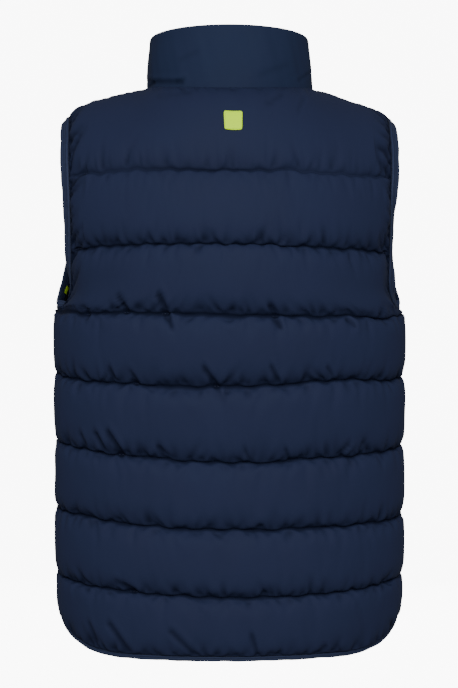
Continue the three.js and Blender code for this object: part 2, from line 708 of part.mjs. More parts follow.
// The chain stops just under the slider's post.
function chainLine(line, seat) {
  const postFoot = seat.z + SLIDER.length / 2 - SLIDER_POST.length - 2 * SLIDER.clearance;
  const kept = line.filter((p) => p.y < postFoot - 4);
  const next = line[kept.length];
  const last = kept[kept.length - 1];
  kept.push(last.clone().lerp(next, (postFoot - last.y) / (next.y - last.y)));
  return kept;
}

// The neck patch: a thin rounded plate laid on the yoke, from the yoke's own points moved out.
function neckPatch() {
  const ring = 24;
  const rings = [0, 0.5, 0.88, 1];
  const centre = patchCentre();
  const outlinePoint = (share, k) => {
    const angle = (2 * Math.PI * k) / ring;
    const [c, s] = [Math.cos(angle), Math.sin(angle)];
    const square = 7;
    const reach = Math.pow(Math.pow(Math.abs(c), square) + Math.pow(Math.abs(s), square), -1 / square);
    return { x: (share * reach * c * PATCH.width) / 2, down: (share * reach * s * PATCH.height) / 2 };
  };
  const lay = ({ x, down }, lift) => {
    const place = centre.place + down / centre.perPlace;
    const across = (PATCH.x + x) / centre.perAcross;
    const p = outerPoint(true, Math.abs(across), place, lift);
    return across < 0 ? mirrored(p) : p;
  };
  const builder = new SolidBuilder();
  const face = (lift, flip) => {
    const middle = lay({ x: 0, down: 0 }, lift);
    counted(ring).forEach((k) => {
      const corner = (r, n) => lay(outlinePoint(rings[r], n % ring), lift);
      const tri = (a, b, c) => (flip ? builder.triangle(a, c, b) : builder.triangle(a, b, c));
      tri(middle, corner(1, k), corner(1, k + 1));
      for (let r = 1; r + 1 < rings.length; r++) {
        tri(corner(r, k), corner(r + 1, k), corner(r + 1, k + 1));
        tri(corner(r, k), corner(r + 1, k + 1), corner(r, k + 1));
      }
    });
  };
  face(PATCH.gap + PATCH.thickness, false);
  face(PATCH.gap, true);
  counted(ring).forEach((k) => {
    const rim = (n, lift) => lay(outlinePoint(1, n % ring), lift);
    const [low, high] = [PATCH.gap, PATCH.gap + PATCH.thickness];
    builder.triangle(rim(k, high), rim(k, low), rim(k + 1, low));
    builder.triangle(rim(k, high), rim(k + 1, low), rim(k + 1, high));
  });
  return builder.geometry();
}

// The patch's place on the yoke, and how many millimetres one step across or down is there.
function patchCentre() {
  let place = 0.3;
  for (let i = 0; i < 30; i++) {
    const z = outerPoint(true, 0, place).z;
    place += (z - PATCH.z) * 0.004;
  }
  const here = outerPoint(true, 0, place);
  const perPlace = outerPoint(true, 0, place + SMALL_STEP).distanceTo(here) / SMALL_STEP;
  const perAcross = outerPoint(true, SMALL_STEP * 10, place).distanceTo(here) / (SMALL_STEP * 10);
  return { place, perPlace, perAcross };
}

function vest() {
  const group = new THREE.Group();
  group.add(named("back_panel", backPanel(), NAVY));
  group.add(named("front_left", frontPanel(false), NAVY));
  group.add(named("front_right", frontPanel(true), NAVY));
  group.add(named("collar", collar(), NAVY));
  group.add(named("armhole_binding_left", armholeBinding(false), BINDING_NAVY));
  group.add(named("armhole_binding_right", armholeBinding(true), BINDING_NAVY));
  group.add(named("hem_binding", hemBinding(), BINDING_NAVY));
  group.add(named("neck_patch", neckPatch(), LIME));
  group.add(named("inner_tab", innerTab(), LIME));

  const line = zipLine();
  const seat = sliderSeat(line);
  group.add(named("zip_tape_left", zipStrip(line, TAPE.inner, TAPE.outer, TAPE.thickness), ZIP_NAVY));
  group.add(named("zip_tape_right", zipStrip(line, -TAPE.outer, -TAPE.inner, TAPE.thickness), ZIP_NAVY));
  const chain = zipStrip(chainLine(line, seat), -CHAIN.halfWidth, CHAIN.halfWidth, CHAIN.thickness);
  group.add(named("zip_chain", chain, ZIP_NAVY));

  const carriage = new THREE.Group();
  carriage.position.set(0, seat.y, seat.z);
  carriage.rotation.x = -seat.lean;
  carriage.add(named("zip_slider", slider(), ZIP_METAL));
  const pull = named("zip_pull", pullTab(), ZIP_METAL);
  pull.position.set(0, -PIVOT_FORWARD, 0);
  carriage.add(pull);
  group.add(carriage);
  return group;
}

export default vest();
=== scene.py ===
"""A navy quilted vest with a stand collar, filled out as when it is worn."""
import math

import bpy
import numpy as np
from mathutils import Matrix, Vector
from mathutils.bvhtree import BVHTree


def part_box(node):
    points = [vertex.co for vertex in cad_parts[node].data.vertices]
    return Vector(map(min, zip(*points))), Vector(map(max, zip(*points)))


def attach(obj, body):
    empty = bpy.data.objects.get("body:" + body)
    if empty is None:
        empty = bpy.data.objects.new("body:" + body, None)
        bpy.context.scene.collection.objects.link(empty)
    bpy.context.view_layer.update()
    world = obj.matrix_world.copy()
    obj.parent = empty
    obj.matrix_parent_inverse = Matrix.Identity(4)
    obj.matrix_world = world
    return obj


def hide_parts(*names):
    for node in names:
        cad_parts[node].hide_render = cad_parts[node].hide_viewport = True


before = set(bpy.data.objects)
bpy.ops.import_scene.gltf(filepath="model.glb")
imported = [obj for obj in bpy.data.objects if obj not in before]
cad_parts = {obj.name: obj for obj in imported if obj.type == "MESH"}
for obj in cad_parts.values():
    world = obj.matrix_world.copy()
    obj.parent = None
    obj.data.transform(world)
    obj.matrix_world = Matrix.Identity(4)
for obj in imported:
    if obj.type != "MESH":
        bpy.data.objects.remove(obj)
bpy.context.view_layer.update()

bl_info = {
    "name": "Quilted Vest",
    "version": (1, 0, 0),
    "blender": (4, 5, 0),
    "location": "View3D > Sidebar > Vest",
    "description": "Builds a quilted vest from its panels, trims, zip and stitching",
    "category": "Mesh",
}

# The cut, in millimetres, as the solids have it. The wearer faces -Y, and +X is the wearer's left.
NECK_HALF_WIDTH = 104
NECK_BACK_DEPTH = 84
NECK_FRONT_DEPTH = 84
NECK_CENTRE_Y = -4
NECK_BACK_Z = -12
NECK_SIDE_Z = -5
NECK_FRONT_Z = -68
SHOULDER_TIP_X = 197.5
SHOULDER_SLOPE_DROP = 24
SHOULDER_END_DROP = 7.5
SHOULDER_END_POWER = 8
SIDE_SEAM_Y = 4
HALF_SEAM_GAP = 0.2
ROUNDNESS = 0.88
NECK_SHARE = 0.56
ZIP_HALF_OPENING = 9
SEAM_THICKNESS = 4
SEAM_DIP = 1.8
CHANNEL_HEIGHTS = np.array([8, 11, 11.5, 11.5, 11.5, 11, 11, 9, 9])
ARMHOLE_PUFF_REACH = 15
UNDERARM_PUFF_REACH = 30
SIDE_PUFF_REACH = 60
ZIP_PUFF_REACH = 20
NECK_PUFF_REACH = 16
PUFF_SAG = 0.88
ARMHOLE_WIDEST_Z = -150
ARMHOLE_UPPER_REACH = 116
ARMHOLE_LOWER_REACH = 131
ARMHOLE_BACK_Y = 62
ARMHOLE_FRONT_Y = -66
ARMHOLE_SQUARENESS = 2.3
FRONT_SCOOP_SQUARENESS = 1.75
ARMHOLE_NARROW_Z = -206
ARMHOLE_EDGES = {True: (191.5, 6.0), False: (193.0, 1.2)}
TAIL_TURN_START = 38
COLUMNS = ("back_z", "back_y", "front_z", "front_y", "end_z", "half_width", "turn")
SECTIONS = np.array([
    (-115, 126, -130, -112, -118, 212.0, 52),
    (-200, 139, -212, -136, -206, 212.0, 56),
    (-284, 140, -294, -145, -281, 211.5, 90),
    (-367, 135, -372, -143, -355, 212.0, 90),
    (-457, 131, -455, -138, -438, 211.3, 90),
    (-534, 133, -534, -136, -522, 211.2, 90),
    (-615, 137, -612, -135, -602, 209.8, 90),
    (-685, 139, -646, -133, -626, 208.3, 90),
], float)
HEM = len(SECTIONS)
UNDERARM = 3
SMALL_STEP = 0.004

# Where the cloth of one channel is divided, from its upper seam to its lower one.
CHANNEL_ROWS = (0, 0.02, 0.06, 0.12, 0.2, 0.3, 0.42, 0.54, 0.66, 0.77, 0.86, 0.93, 0.975)
COLUMN_STEPS = 5
# How far each of these rows is drawn along the cloth towards its nearer seam, in millimetres.
CHANNEL_PULL = (0, -0.95, -1.6, -1.05, -0.4, 0, 0, 0, 0, 0.3, 0.9, 1.6, 1.1)

# How far each seam lies below its even place, as shares of a channel, from the wearer's right to the left.
SEAM_KNOTS = (-1, -0.64, -0.45, -0.3, 0, 0.3, 0.45, 0.6, 1)
SEAM_SHIFTS = (
    (0, 0.005, -0.005, -0.02, -0.01, -0.02, -0.035, -0.025, -0.02),
    (0.02, 0.022, 0.025, 0.02, 0.015, 0, -0.008, -0.016, -0.016),
    (0.017, 0.081, 0.035, 0.033, 0.005, -0.022, -0.015, 0.016, 0.002),
    (0.07, 0.07, -0.015, -0.015, 0.01, 0.03, 0.025, 0.055, 0),
    (0.09, 0.085, 0.055, 0.01, 0.015, -0.005, 0.015, 0.02, -0.005),
    (0.12, 0.12, 0.09, 0.065, 0.04, 0.03, 0.02, 0.005, 0),
    (0.075, 0.075, 0.06, 0.04, 0.02, 0.01, 0.03, 0.04, 0),
)

# The photograph's camera: how far it stands from the vest's middle, and how many pixels a metre has there.
CAMERA_DISTANCE = 2.2
CAMERA_HEIGHT = -0.266
CAMERA_TURN = math.radians(2)
PIXELS_PER_METRE = 795.4
HORIZON_ROW = 300
IMAGE_SIZE = (458, 688)

# The largest folds that show on the back: where each starts and ends in the picture, its depth in millimetres
# and its half width in pixels.
BACK_FOLDS = (
    (158.6, 295, 167.6, 316.5, 3.4, 3.4), (167.6, 316.5, 172, 327, 2.2, 2.6),
    (117.8, 296, 126.7, 311, 2.4, 3.0),
    (82, 306, 88.5, 314, 2.0, 2.4), (271, 306, 280, 327, 2.2, 3.2), (347.6, 319, 355, 325.5, 1.6, 2.4),
    (109, 369, 112.7, 379, 1.8, 2.6), (130.6, 372.6, 137, 383, 1.8, 2.6), (204.5, 369, 217, 387, 2.4, 3.2),
    (272, 367.6, 278.7, 381.6, 1.9, 2.8), (328.4, 367.6, 332, 375, 1.5, 2.4),
    (94.8, 433, 103.8, 450, 2.4, 2.8),
    (107.6, 433, 121.6, 454, 2.8, 3.2), (79.5, 433, 84.6, 445, 1.8, 2.4), (158.6, 447, 167.6, 455, 1.6, 2.4),
    (245, 449, 249, 459, 1.5, 2.4), (286, 449, 289, 459, 1.5, 2.4), (350, 443.6, 341, 454, 1.6, 2.6),
    (364, 442, 360, 451, 1.5, 2.4), (116.5, 582, 134.4, 591, 1.8, 3.0), (109, 624, 128, 651, 2.0, 3.2),
    (171, 632, 198, 659, 1.8, 3.4), (88.5, 624, 96, 641, 1.6, 2.8), (252, 636, 258, 659, 1.6, 3.0),
    (281, 652, 273.6, 659, 1.4, 2.6), (326, 647, 314, 657, 1.5, 2.8), (281, 95, 268, 104, 0.9, 3.6),
    (304, 99, 299, 109, 0.7, 3.0), (158, 96, 190, 92, 0.5, 3.0),
)
COLLAR_FOLDS = (
    (150, 82, 181, 82.5, 1.5, 3.2), (149, 86.5, 153, 83, 1.4, 1.8), (176, 81.5, 184, 79, 0.8, 2.4),
    (180, 60, 196, 52, 0.4, 4.0), (262, 75, 286, 66, 0.4, 4.5), (300, 80, 309, 74, 0.6, 2.6),
)


def section_value(column, place):
    """A smooth curve through one column of the sections."""
    values = SECTIONS[:, COLUMNS.index(column)]
    at = np.clip(place, 1, HEM) - 1
    row = np.minimum(at.astype(int), HEM - 2)
    value = lambda i: values[np.clip(i, 0, HEM - 1)]
    t = at - row
    rise = value(row + 1) - value(row)
    start = np.where(row > 0, (value(row + 1) - value(row - 1)) / 2, rise)
    end = np.where(row < HEM - 2, (value(row + 2) - value(row)) / 2, rise)
    return value(row) + t * start + t * t * (3 * rise - 2 * start - end) + t**3 * (start + end - 2 * rise)


def straight_value(column, place):
    return np.interp(place, np.arange(1, HEM + 1), SECTIONS[:, COLUMNS.index(column)])


def row_end(back, place):
    """Where a row ends: on the armhole edge above the underarm, on the side seam below it."""
    seam_y = SIDE_SEAM_Y + (HALF_SEAM_GAP if back else -HALF_SEAM_GAP)
    upper, lower = SECTIONS[UNDERARM - 2], SECTIONS[UNDERARM - 1]
    scoop = np.clip(place - (UNDERARM - 1), 0, 1)
    end_z, half_width, turn_at = (COLUMNS.index(name) for name in ("end_z", "half_width", "turn"))
    scoop_z = upper[end_z] + (lower[end_z] - upper[end_z]) * np.sin(scoop * np.pi / 2)
    scoop_turn = upper[turn_at] + (lower[turn_at] - upper[turn_at]) * scoop**1.5
    z = np.where(scoop > 0, scoop_z, straight_value("end_z", place))
    turn = np.where(scoop > 0, scoop_turn, straight_value("turn", place))
    reach = np.where(z > ARMHOLE_WIDEST_Z, ARMHOLE_UPPER_REACH, ARMHOLE_LOWER_REACH)
    from_widest = np.minimum(np.abs(z - ARMHOLE_WIDEST_Z) / reach, 1)
    squareness = ARMHOLE_SQUARENESS if back else np.where(
        z < ARMHOLE_WIDEST_Z, FRONT_SCOOP_SQUARENESS, ARMHOLE_SQUARENESS)
    spread = (1 - from_widest**squareness) ** (1 / squareness)
    narrow_x, curve = ARMHOLE_EDGES[back]
    below = np.clip((ARMHOLE_NARROW_Z - z) / 75, 0, None)
    above = np.clip((z - ARMHOLE_NARROW_Z) / 88, 0, None)
    x = narrow_x + (lower[half_width] - narrow_x) * below**curve + 2.5 * above**2
    y = seam_y + ((ARMHOLE_BACK_Y if back else ARMHOLE_FRONT_Y) - seam_y) * spread
    on_side = place >= UNDERARM
    return (
        np.where(on_side, section_value("half_width", place), x),
        np.where(on_side, seam_y, y),
        np.where(on_side, straight_value("end_z", place), z),
        np.radians(np.where(on_side, 90.0, turn)),
    )


def row_point(back, across, place):
    """A point of the lining below the yoke: across is 0 at the centre line and 1 at the row's end."""
    end_x, end_y, end_z, turn = row_end(back, place)
    centre_y = section_value("back_y" if back else "front_y", place)
    centre_z = section_value("back_z" if back else "front_z", place)
    reach_x = end_x / np.sin(turn)
    left = np.maximum(np.cos(turn), 0) ** ROUNDNESS
    reach_y = (centre_y - end_y) / (1 - left)
    start = 0 if back else np.arcsin(ZIP_HALF_OPENING / reach_x)
    angle = start + (turn - start) * across
    share = (np.sin(angle) / np.sin(turn)) ** 2
    tail_start = math.radians(TAIL_TURN_START)
    tail = np.clip((angle - tail_start) / (turn - tail_start), 0, 1) ** 2 if back else share**2
    hem_share = np.clip(place - (HEM - 1), 0, 1)
    return np.stack([
        reach_x * np.sin(angle),
        end_y + reach_y * (np.maximum(np.cos(angle), 0) ** ROUNDNESS - left),
        centre_z + (end_z - centre_z) * (share * (1 - hem_share) + tail * hem_share),
    ], axis=-1)


def neckline_point(angle):
    """The neckline, by its angle from the centre back: 180 degrees is the centre front."""
    rear = angle < np.pi / 2
    depth = np.where(rear, NECK_BACK_DEPTH, NECK_FRONT_DEPTH)
    rise = np.where(rear, np.sin(angle), np.cos(angle)) ** 2
    low, high = np.where(rear, NECK_BACK_Z, NECK_SIDE_Z), np.where(rear, NECK_SIDE_Z, NECK_FRONT_Z)
    return np.stack([
        NECK_HALF_WIDTH * np.sin(angle), NECK_CENTRE_Y + depth * np.cos(angle), low + (high - low) * rise,
    ], axis=-1)


def neckline_angle(back, across):
    centre = 0 if back else np.pi - math.asin(ZIP_HALF_OPENING / NECK_HALF_WIDTH)
    return centre + (np.pi / 2 - centre) * np.minimum(across / NECK_SHARE, 1)


def yoke_top(back, across):
    """The yoke's upper edge: half the neckline, and then the shoulder seam."""
    shift = HALF_SEAM_GAP if back else -HALF_SEAM_GAP
    neck = neckline_point(neckline_angle(back, across))
    neck[..., 1] += shift * np.minimum(across / NECK_SHARE, 1)
    along = np.clip((across - NECK_SHARE) / (1 - NECK_SHARE), 0, 1)
    corner = neckline_point(np.array(np.pi / 2))
    shoulder = np.stack([
        corner[0] + (SHOULDER_TIP_X - corner[0]) * along,
        np.full_like(along, NECK_CENTRE_Y + shift),
        corner[2] - SHOULDER_SLOPE_DROP * along - SHOULDER_END_DROP * along**SHOULDER_END_POWER,
    ], axis=-1)
    return np.where((across < NECK_SHARE)[..., None], neck, shoulder)


def length_of(vectors):
    return np.linalg.norm(vectors, axis=-1, keepdims=True)


def run_of(line):
    """How far along a line each of its points is."""
    return np.concatenate([[0], np.cumsum(np.linalg.norm(np.diff(line, axis=0), axis=-1))])


def unit(vectors):
    return vectors / np.maximum(length_of(vectors), 1e-9)


def lining_point(back, across, place):
    """A point of the lining. The yoke, from 0 to 1, runs over the shoulder to the first seam."""
    across, place = np.broadcast_arrays(np.asarray(across, float), np.asarray(place, float))
    below = row_point(back, across, np.maximum(place, 1))
    if not (place < 1).any():
        return below
    top = yoke_top(back, across)
    seam = row_point(back, across, np.ones_like(across))
    chord = seam - top
    length = length_of(chord)
    top_slope = unit(chord * (1, 1, 0.35)) * length * 1.1
    seam_slope = unit(row_point(back, across, np.full_like(across, 1.03)) - seam) * length
    t = np.clip(place, 0, 1)[..., None]
    from_top = (1 + 2 * t) * (1 - t) ** 2
    over = from_top * top + t * (1 - t) ** 2 * top_slope
    over = over + (1 - from_top) * seam + t * t * (t - 1) * seam_slope
    return np.where((place < 1)[..., None], over, below)


def wall_normal(back, across, place):
    a, p = np.clip(across, SMALL_STEP, 1 - SMALL_STEP), np.clip(place, SMALL_STEP, HEM - SMALL_STEP)
    along = lining_point(back, a + SMALL_STEP, p) - lining_point(back, a - SMALL_STEP, p)
    down = lining_point(back, a, p + SMALL_STEP) - lining_point(back, a, p - SMALL_STEP)
    return unit(np.cross(along, down) if back else np.cross(down, along))


def quarter_round(distance, reach):
    return np.sqrt(1 - (1 - np.clip(distance / reach, 0, 1)) ** 2)


def smoothstep(x, a, b):
    t = np.clip((x - a) / (b - a), 0, 1)
    return t * t * (3 - 2 * t)


def puff(back, across, place, quilted):
    """How far the padding stands out of the wall. The whole numbers of quilted are the seams."""
    channel = np.minimum(quilted.astype(int), HEM - 1)
    t = (quilted - channel) ** PUFF_SAG
    squareness = np.where(channel == 0, 3.2, 2.7)
    arch = (1 - np.abs(2 * t - 1) ** squareness) ** 0.58
    edge = lining_point(back, np.ones_like(across), place)
    here = lining_point(back, across, place)
    from_edge = length_of(here - edge)[..., 0]
    on_side = smoothstep(place, UNDERARM - 0.9, UNDERARM - 0.2)
    low = smoothstep(place, UNDERARM - 1.4, UNDERARM - 0.9) if back else 0
    upper_rise = np.sin(np.pi / 2 * np.clip(from_edge / ARMHOLE_PUFF_REACH, 0, 1))
    lower_rise = np.clip(from_edge / UNDERARM_PUFF_REACH, 0, 1) ** 0.9
    rise = (upper_rise + (lower_rise - upper_rise) * low) * (1 - on_side)
    rise = rise + smoothstep(from_edge, 0, SIDE_PUFF_REACH) * on_side
    if not back:
        rise = rise * quarter_round(np.abs(here[..., 0]) - ZIP_HALF_OPENING, ZIP_PUFF_REACH)
    ratio = np.hypot(here[..., 0] / NECK_HALF_WIDTH, (here[..., 1] - NECK_CENTRE_Y) / NECK_BACK_DEPTH)
    neck_rise = quarter_round((ratio - 1) * NECK_BACK_DEPTH, NECK_PUFF_REACH)
    return CHANNEL_HEIGHTS[channel] * arch * rise * np.where(channel == 0, neck_rise, 1)


def cad_columns():
    neck = NECK_SHARE * np.arange(10) / 9
    shoulder = NECK_SHARE + (1 - NECK_SHARE) * (1 - (1 - np.arange(1, 10) / 9) ** 1.5)
    return np.concatenate([neck, shoulder])


def fine_columns(steps):
    coarse = cad_columns()
    return np.interp(np.arange((len(coarse) - 1) * steps + 1) / steps, np.arange(len(coarse)), coarse)


def fine_rows():
    rows = [channel + t for channel in range(HEM) for t in CHANNEL_ROWS]
    return np.array(rows + [HEM], float)


def waviness(x, seed, wavelengths=(31, 53, 97), heights=(0.35, 0.4, 0.45)):
    """A smooth random line, the same on every run."""
    random = np.random.default_rng(seed)
    total = np.zeros_like(x)
    for wavelength, height in zip(wavelengths, heights):
        total = total + height * np.sin(2 * np.pi * (x / wavelength + random.random()))
    return total


def shifted(back, spot, quilted):
    """The place on the panel of a point whose place between the seams is known."""
    place = np.array(quilted, float)
    for seam in range(1, HEM):
        near = np.clip(1 - np.abs(quilted - seam), 0, 1)
        shift = np.interp(spot, SEAM_KNOTS, SEAM_SHIFTS[seam - 1])
        if not back:
            shift = np.where(spot < 0, SEAM_SHIFTS[seam - 1][0], SEAM_SHIFTS[seam - 1][-1]) * spot**2
        wander = 0.011 * waviness(spot * 330, 70 + seam) * np.minimum(1, (1 - np.abs(spot)) / 0.1)
        place = place + near * (shift + wander)
    return place


def in_picture(points_mm):
    """Where points on the vest fall in the picture, in its pixels."""
    c, s = math.cos(CAMERA_TURN), math.sin(CAMERA_TURN)
    x = points_mm[..., 0] * c - points_mm[..., 1] * s
    y = points_mm[..., 0] * s + points_mm[..., 1] * c
    scale = PIXELS_PER_METRE / 1000 * CAMERA_DISTANCE / (CAMERA_DISTANCE - y / 1000)
    across = IMAGE_SIZE[0] / 2 - x * scale
    return np.stack([across, HORIZON_ROW - (points_mm[..., 2] - CAMERA_HEIGHT * 1000) * scale], axis=-1)


def mirrored(spot):
    """What a point of the wearer's left half is multiplied by to stand at this spot."""
    return np.where(spot < 0, -1.0, 1.0)[..., None] ** np.array([1, 0, 0])


def shoulder_drop(spot, quilted):
    """How far the wearer's right shoulder hangs below the left one, in millimetres."""
    towards_end = smoothstep(-spot, 0.58, 0.85) * (1 - 0.75 * smoothstep(-spot, 0.9, 1))
    return 4.6 * towards_end * (1 - smoothstep(quilted, 0, 0.9))


def first_seam_fill(spot, quilted):
    """The first seam is drawn in less than the others."""
    return 1.7 * np.exp(-(((quilted - 1) / 0.07) ** 2)) * (1 - smoothstep(np.abs(spot), 0.85, 0.97))


class Panel:
    """One quilted panel as two grids of points, its shell and its lining, a row for each step down."""

    def __init__(self, back, side=1):
        self.back, self.side = back, side
        half = fine_columns(COLUMN_STEPS)
        spots = np.concatenate([-half[:0:-1], half]) if back else half * side
        spot, quilted = np.meshgrid(spots, fine_rows())
        place, flip = shifted(back, spot, quilted), mirrored(spot)
        across = np.abs(spot)
        self.spot, self.place = spot, quilted
        self.lining = lining_point(back, across, place) * flip
        self.normal = unit(softened(wall_normal(back, across, place) * flip, 0, 40))
        self.height = puff(back, across, place, quilted)
        below_arm = np.exp(-(((quilted - UNDERARM) / 0.12) ** 2))
        below_arm *= smoothstep(quilted, UNDERARM - 0.06, UNDERARM + 0.08)
        self.height += 3.5 * below_arm * smoothstep(across, 0.82, 0.95)
        self.height += first_seam_fill(spot, quilted)
        self.inset = length_of(self.lining - lining_point(back, np.ones_like(across), place) * flip)[..., 0]
        self.lining[..., 2] -= shoulder_drop(spot, quilted)
        self.run = self.run_along(self.lining)
        self.run -= self.run[:, len(spots) // 2 : len(spots) // 2 + 1] if back else 0
        self.drop = np.concatenate([np.zeros((1, len(spots))), np.cumsum(
            np.linalg.norm(np.diff(self.lining, axis=0), axis=-1), axis=0)])
        sewn_in = SEAM_DIP * (np.abs(quilted - np.round(quilted)) < 1e-6) * (quilted > 0) * (quilted < HEM)
        sewn_in = sewn_in * quarter_round(self.inset, 12)
        self.shell = self.lining + self.normal * (SEAM_THICKNESS + self.height - sewn_in)[..., None]
        in_yoke = smoothstep(quilted, 0, 0.15) * (1 - smoothstep(quilted, 0.7, 1))
        in_yoke *= smoothstep(1 - across, 0, 0.12)
        in_yoke *= 1 if back else smoothstep(across, 0, 0.1)
        self.shell += (softened(self.shell, 0, 60) - self.shell) * in_yoke[..., None]
        pull = np.array(CHANNEL_PULL * HEM + (0,))[:, None] * np.clip(self.height / 6, 0, 1)
        self.shell += unit(np.gradient(self.lining, axis=0)) * pull[..., None]

    @staticmethod
    def run_along(lining):
        steps = np.linalg.norm(np.diff(lining, axis=1), axis=-1)
        return np.concatenate([np.zeros((len(lining), 1)), np.cumsum(steps, axis=1)], axis=1)


def grid_faces(rows, columns):
    index = np.arange(rows * columns).reshape(rows, columns)
    return np.stack([index[:-1, :-1], index[1:, :-1], index[1:, 1:], index[:-1, 1:]], axis=-1).reshape(-1, 4)


def softened(grid, passes_down, passes_over):
    """A grid of values, blurred down and across with its edges held open."""
    for axis, passes in ((0, passes_down), (1, passes_over)):
        for _ in range(passes):
            padded = np.concatenate([grid.take([0], axis), grid, grid.take([-1], axis)], axis)
            count = grid.shape[axis]
            grid = (padded.take(range(count), axis) + 2 * grid + padded.take(range(2, count + 2), axis)) / 4
    return grid


def blow_out(context, panel):
    """The cloth of one panel between its seams, blown out by the padding. Returns the shell's new points.

    The cloth is fuller near the seams, where the thread gathers it, so it wrinkles there. Only the wrinkles
    are kept: the broad form stays as it was cut.
    """
    look = context.scene.quilted_vest
    rows, columns = panel.place.shape
    start = panel.shell.reshape(-1, 3)
    random = np.random.default_rng(11 + panel.back + 2 * panel.side)
    bumps = softened(random.normal(0, 1.0, (rows, columns)), 1, 1).reshape(-1) * 0.6
    to_seam = np.abs(panel.place - np.round(panel.place)) * 84
    free = to_seam > 1e-4
    free[0], free[-1], free[:, 0], free[:, -1] = False, False, False, False
    free = free.reshape(-1)
    begin = start + panel.normal.reshape(-1, 3) * (bumps * free)[:, None]
    mesh = bpy.data.meshes.new("cloth_at_work")
    mesh.from_pydata((begin / 1000).tolist(), [], grid_faces(rows, columns).tolist())
    if panel.back or panel.side < 0:
        mesh.flip_normals()
    worker = bpy.data.objects.new("cloth_at_work", mesh)
    context.scene.collection.objects.link(worker)
    worker.vertex_groups.new(name="sewn").add(np.nonzero(~free)[0].tolist(), 1.0, "REPLACE")
    gathered = worker.vertex_groups.new(name="gathered")
    near = np.exp(-(to_seam / 15) ** 2).reshape(-1)
    for level in range(1, 11):
        members = np.nonzero((near > (level - 1) / 10) & (near <= level / 10))[0].tolist()
        gathered.add(members, level / 10, "REPLACE")
    cloth = worker.modifiers.new("cloth", "CLOTH")
    settings = cloth.settings
    settings.quality = 5
    settings.mass = 0.12
    settings.tension_stiffness = settings.compression_stiffness = 14
    settings.shear_stiffness = 4
    settings.bending_stiffness = 0.06
    settings.air_damping = 3
    settings.vertex_group_mass = "sewn"
    settings.vertex_group_shrink = "gathered"
    settings.shrink_min = -look.fullness * 0.3
    settings.shrink_max = -look.fullness
    settings.use_pressure = True
    settings.uniform_pressure_force = look.padding_pressure
    settings.effector_weights.gravity = 0
    cloth.collision_settings.use_collision = False
    cloth.point_cache.frame_start, cloth.point_cache.frame_end = 1, 20
    for step in range(1, 21):
        context.scene.frame_set(step)
    done = worker.evaluated_get(context.evaluated_depsgraph_get())
    found = np.empty(len(start) * 3, np.float32)
    done.data.vertices.foreach_get("co", found)
    context.scene.frame_set(1)
    bpy.data.objects.remove(worker)
    bpy.data.meshes.remove(mesh)
    moved = (found.reshape(-1, 3).astype(float) * 1000 - start).reshape(rows, columns, 3)
    out = (moved * panel.normal).sum(-1, keepdims=True)
    broad = softened(out, 10, 70)
    moved = moved + panel.normal * (broad * 0.12 - broad)
    kept = 0.22 + 1.5 * np.exp(-(to_seam / 17) ** 2)
    kept *= np.where(panel.place < 1.2, 0.55, 1)
    moved *= kept[..., None]
    most = look.cloth_cap * 1000
    size = length_of(moved)
    moved *= np.tanh(size / most) * most / np.maximum(size, 1e-9)
    return panel.shell + moved * free.reshape(rows, columns, 1)


def ring_of(rows, columns):
    """The edge of a grid, clockwise from its first corner, as (row, column, how far round from 0 to 4)."""
    r0, r1, c0, c1 = rows[0], rows[-1], columns[0], columns[-1]
    down = lambda r: (r - r0) / (r1 - r0)
    over = lambda c: (c - c0) / (c1 - c0)
    return (
        [(r0, c, over(c)) for c in columns[:-1]]
        + [(r, c1, 1 + down(r)) for r in rows[:-1]]
        + [(r1, c, 3 - over(c)) for c in columns[:0:-1]]
        + [(r, c0, 4 - down(r)) for r in rows[:0:-1]]
    )


def thinned(count, stride):
    kept = list(range(1, count - 1, stride))
    return kept if kept[-1] == count - 2 else kept + [count - 2]


def closed_wall(shell, lining, stride=4):
    """Points and faces of a closed wall, with True for each face of the lining side."""
    rows, columns = shell.shape[:2]
    shift = rows * columns
    points = np.concatenate([shell.reshape(-1, 3), lining.reshape(-1, 3)])
    faces = grid_faces(rows, columns).tolist()
    at = lambda r, c: r * columns + c
    edge = ring_of(list(range(rows)), list(range(columns)))
    for (r, c, _), (r2, c2, _) in zip(edge, edge[1:] + edge[:1]):
        faces.append((at(r, c), at(r2, c2), shift + at(r2, c2), shift + at(r, c)))
    rim_end = len(faces)
    kept_rows, kept_columns = thinned(rows, stride), thinned(columns, stride)
    inner = ring_of(kept_rows, kept_columns)
    i = j = 0
    out_at = lambda k: shift + at(*edge[k % len(edge)][:2])
    in_at = lambda k: shift + at(*inner[k % len(inner)][:2])
    out_next = lambda: edge[i + 1][2] if i + 1 < len(edge) else 4
    in_next = lambda: inner[j + 1][2] if j + 1 < len(inner) else 4
    while i < len(edge) or j < len(inner):
        if j >= len(inner) or (i < len(edge) and out_next() <= in_next()):
            faces.append((out_at(i), out_at(i + 1), in_at(j)))
            i += 1
        else:
            faces.append((out_at(i), in_at(j + 1), in_at(j)))
            j += 1
    for r0, r1 in zip(kept_rows, kept_rows[1:]):
        for c0, c1 in zip(kept_columns, kept_columns[1:]):
            faces.append(tuple(shift + at(*p) for p in ((r0, c0), (r0, c1), (r1, c1), (r1, c0))))
    return points, faces, rim_end


def swept(stations, closed):
    """Points and faces of a strip from its stations, each a closed section of the same number of points."""
    stations = np.asarray(stations)
    count, around = stations.shape[:2]
    index = np.arange(count * around).reshape(count, around)
    here = index if closed else index[:-1]
    after = np.roll(index, -1, axis=0) if closed else index[1:]
    faces = np.stack([here, after, np.roll(after, -1, axis=1), np.roll(here, -1, axis=1)], axis=-1)
    faces = faces.reshape(-1, 4).tolist()
    if not closed:
        faces += [tuple(index[0]), tuple(index[-1][::-1])]
    return stations.reshape(-1, 3), faces


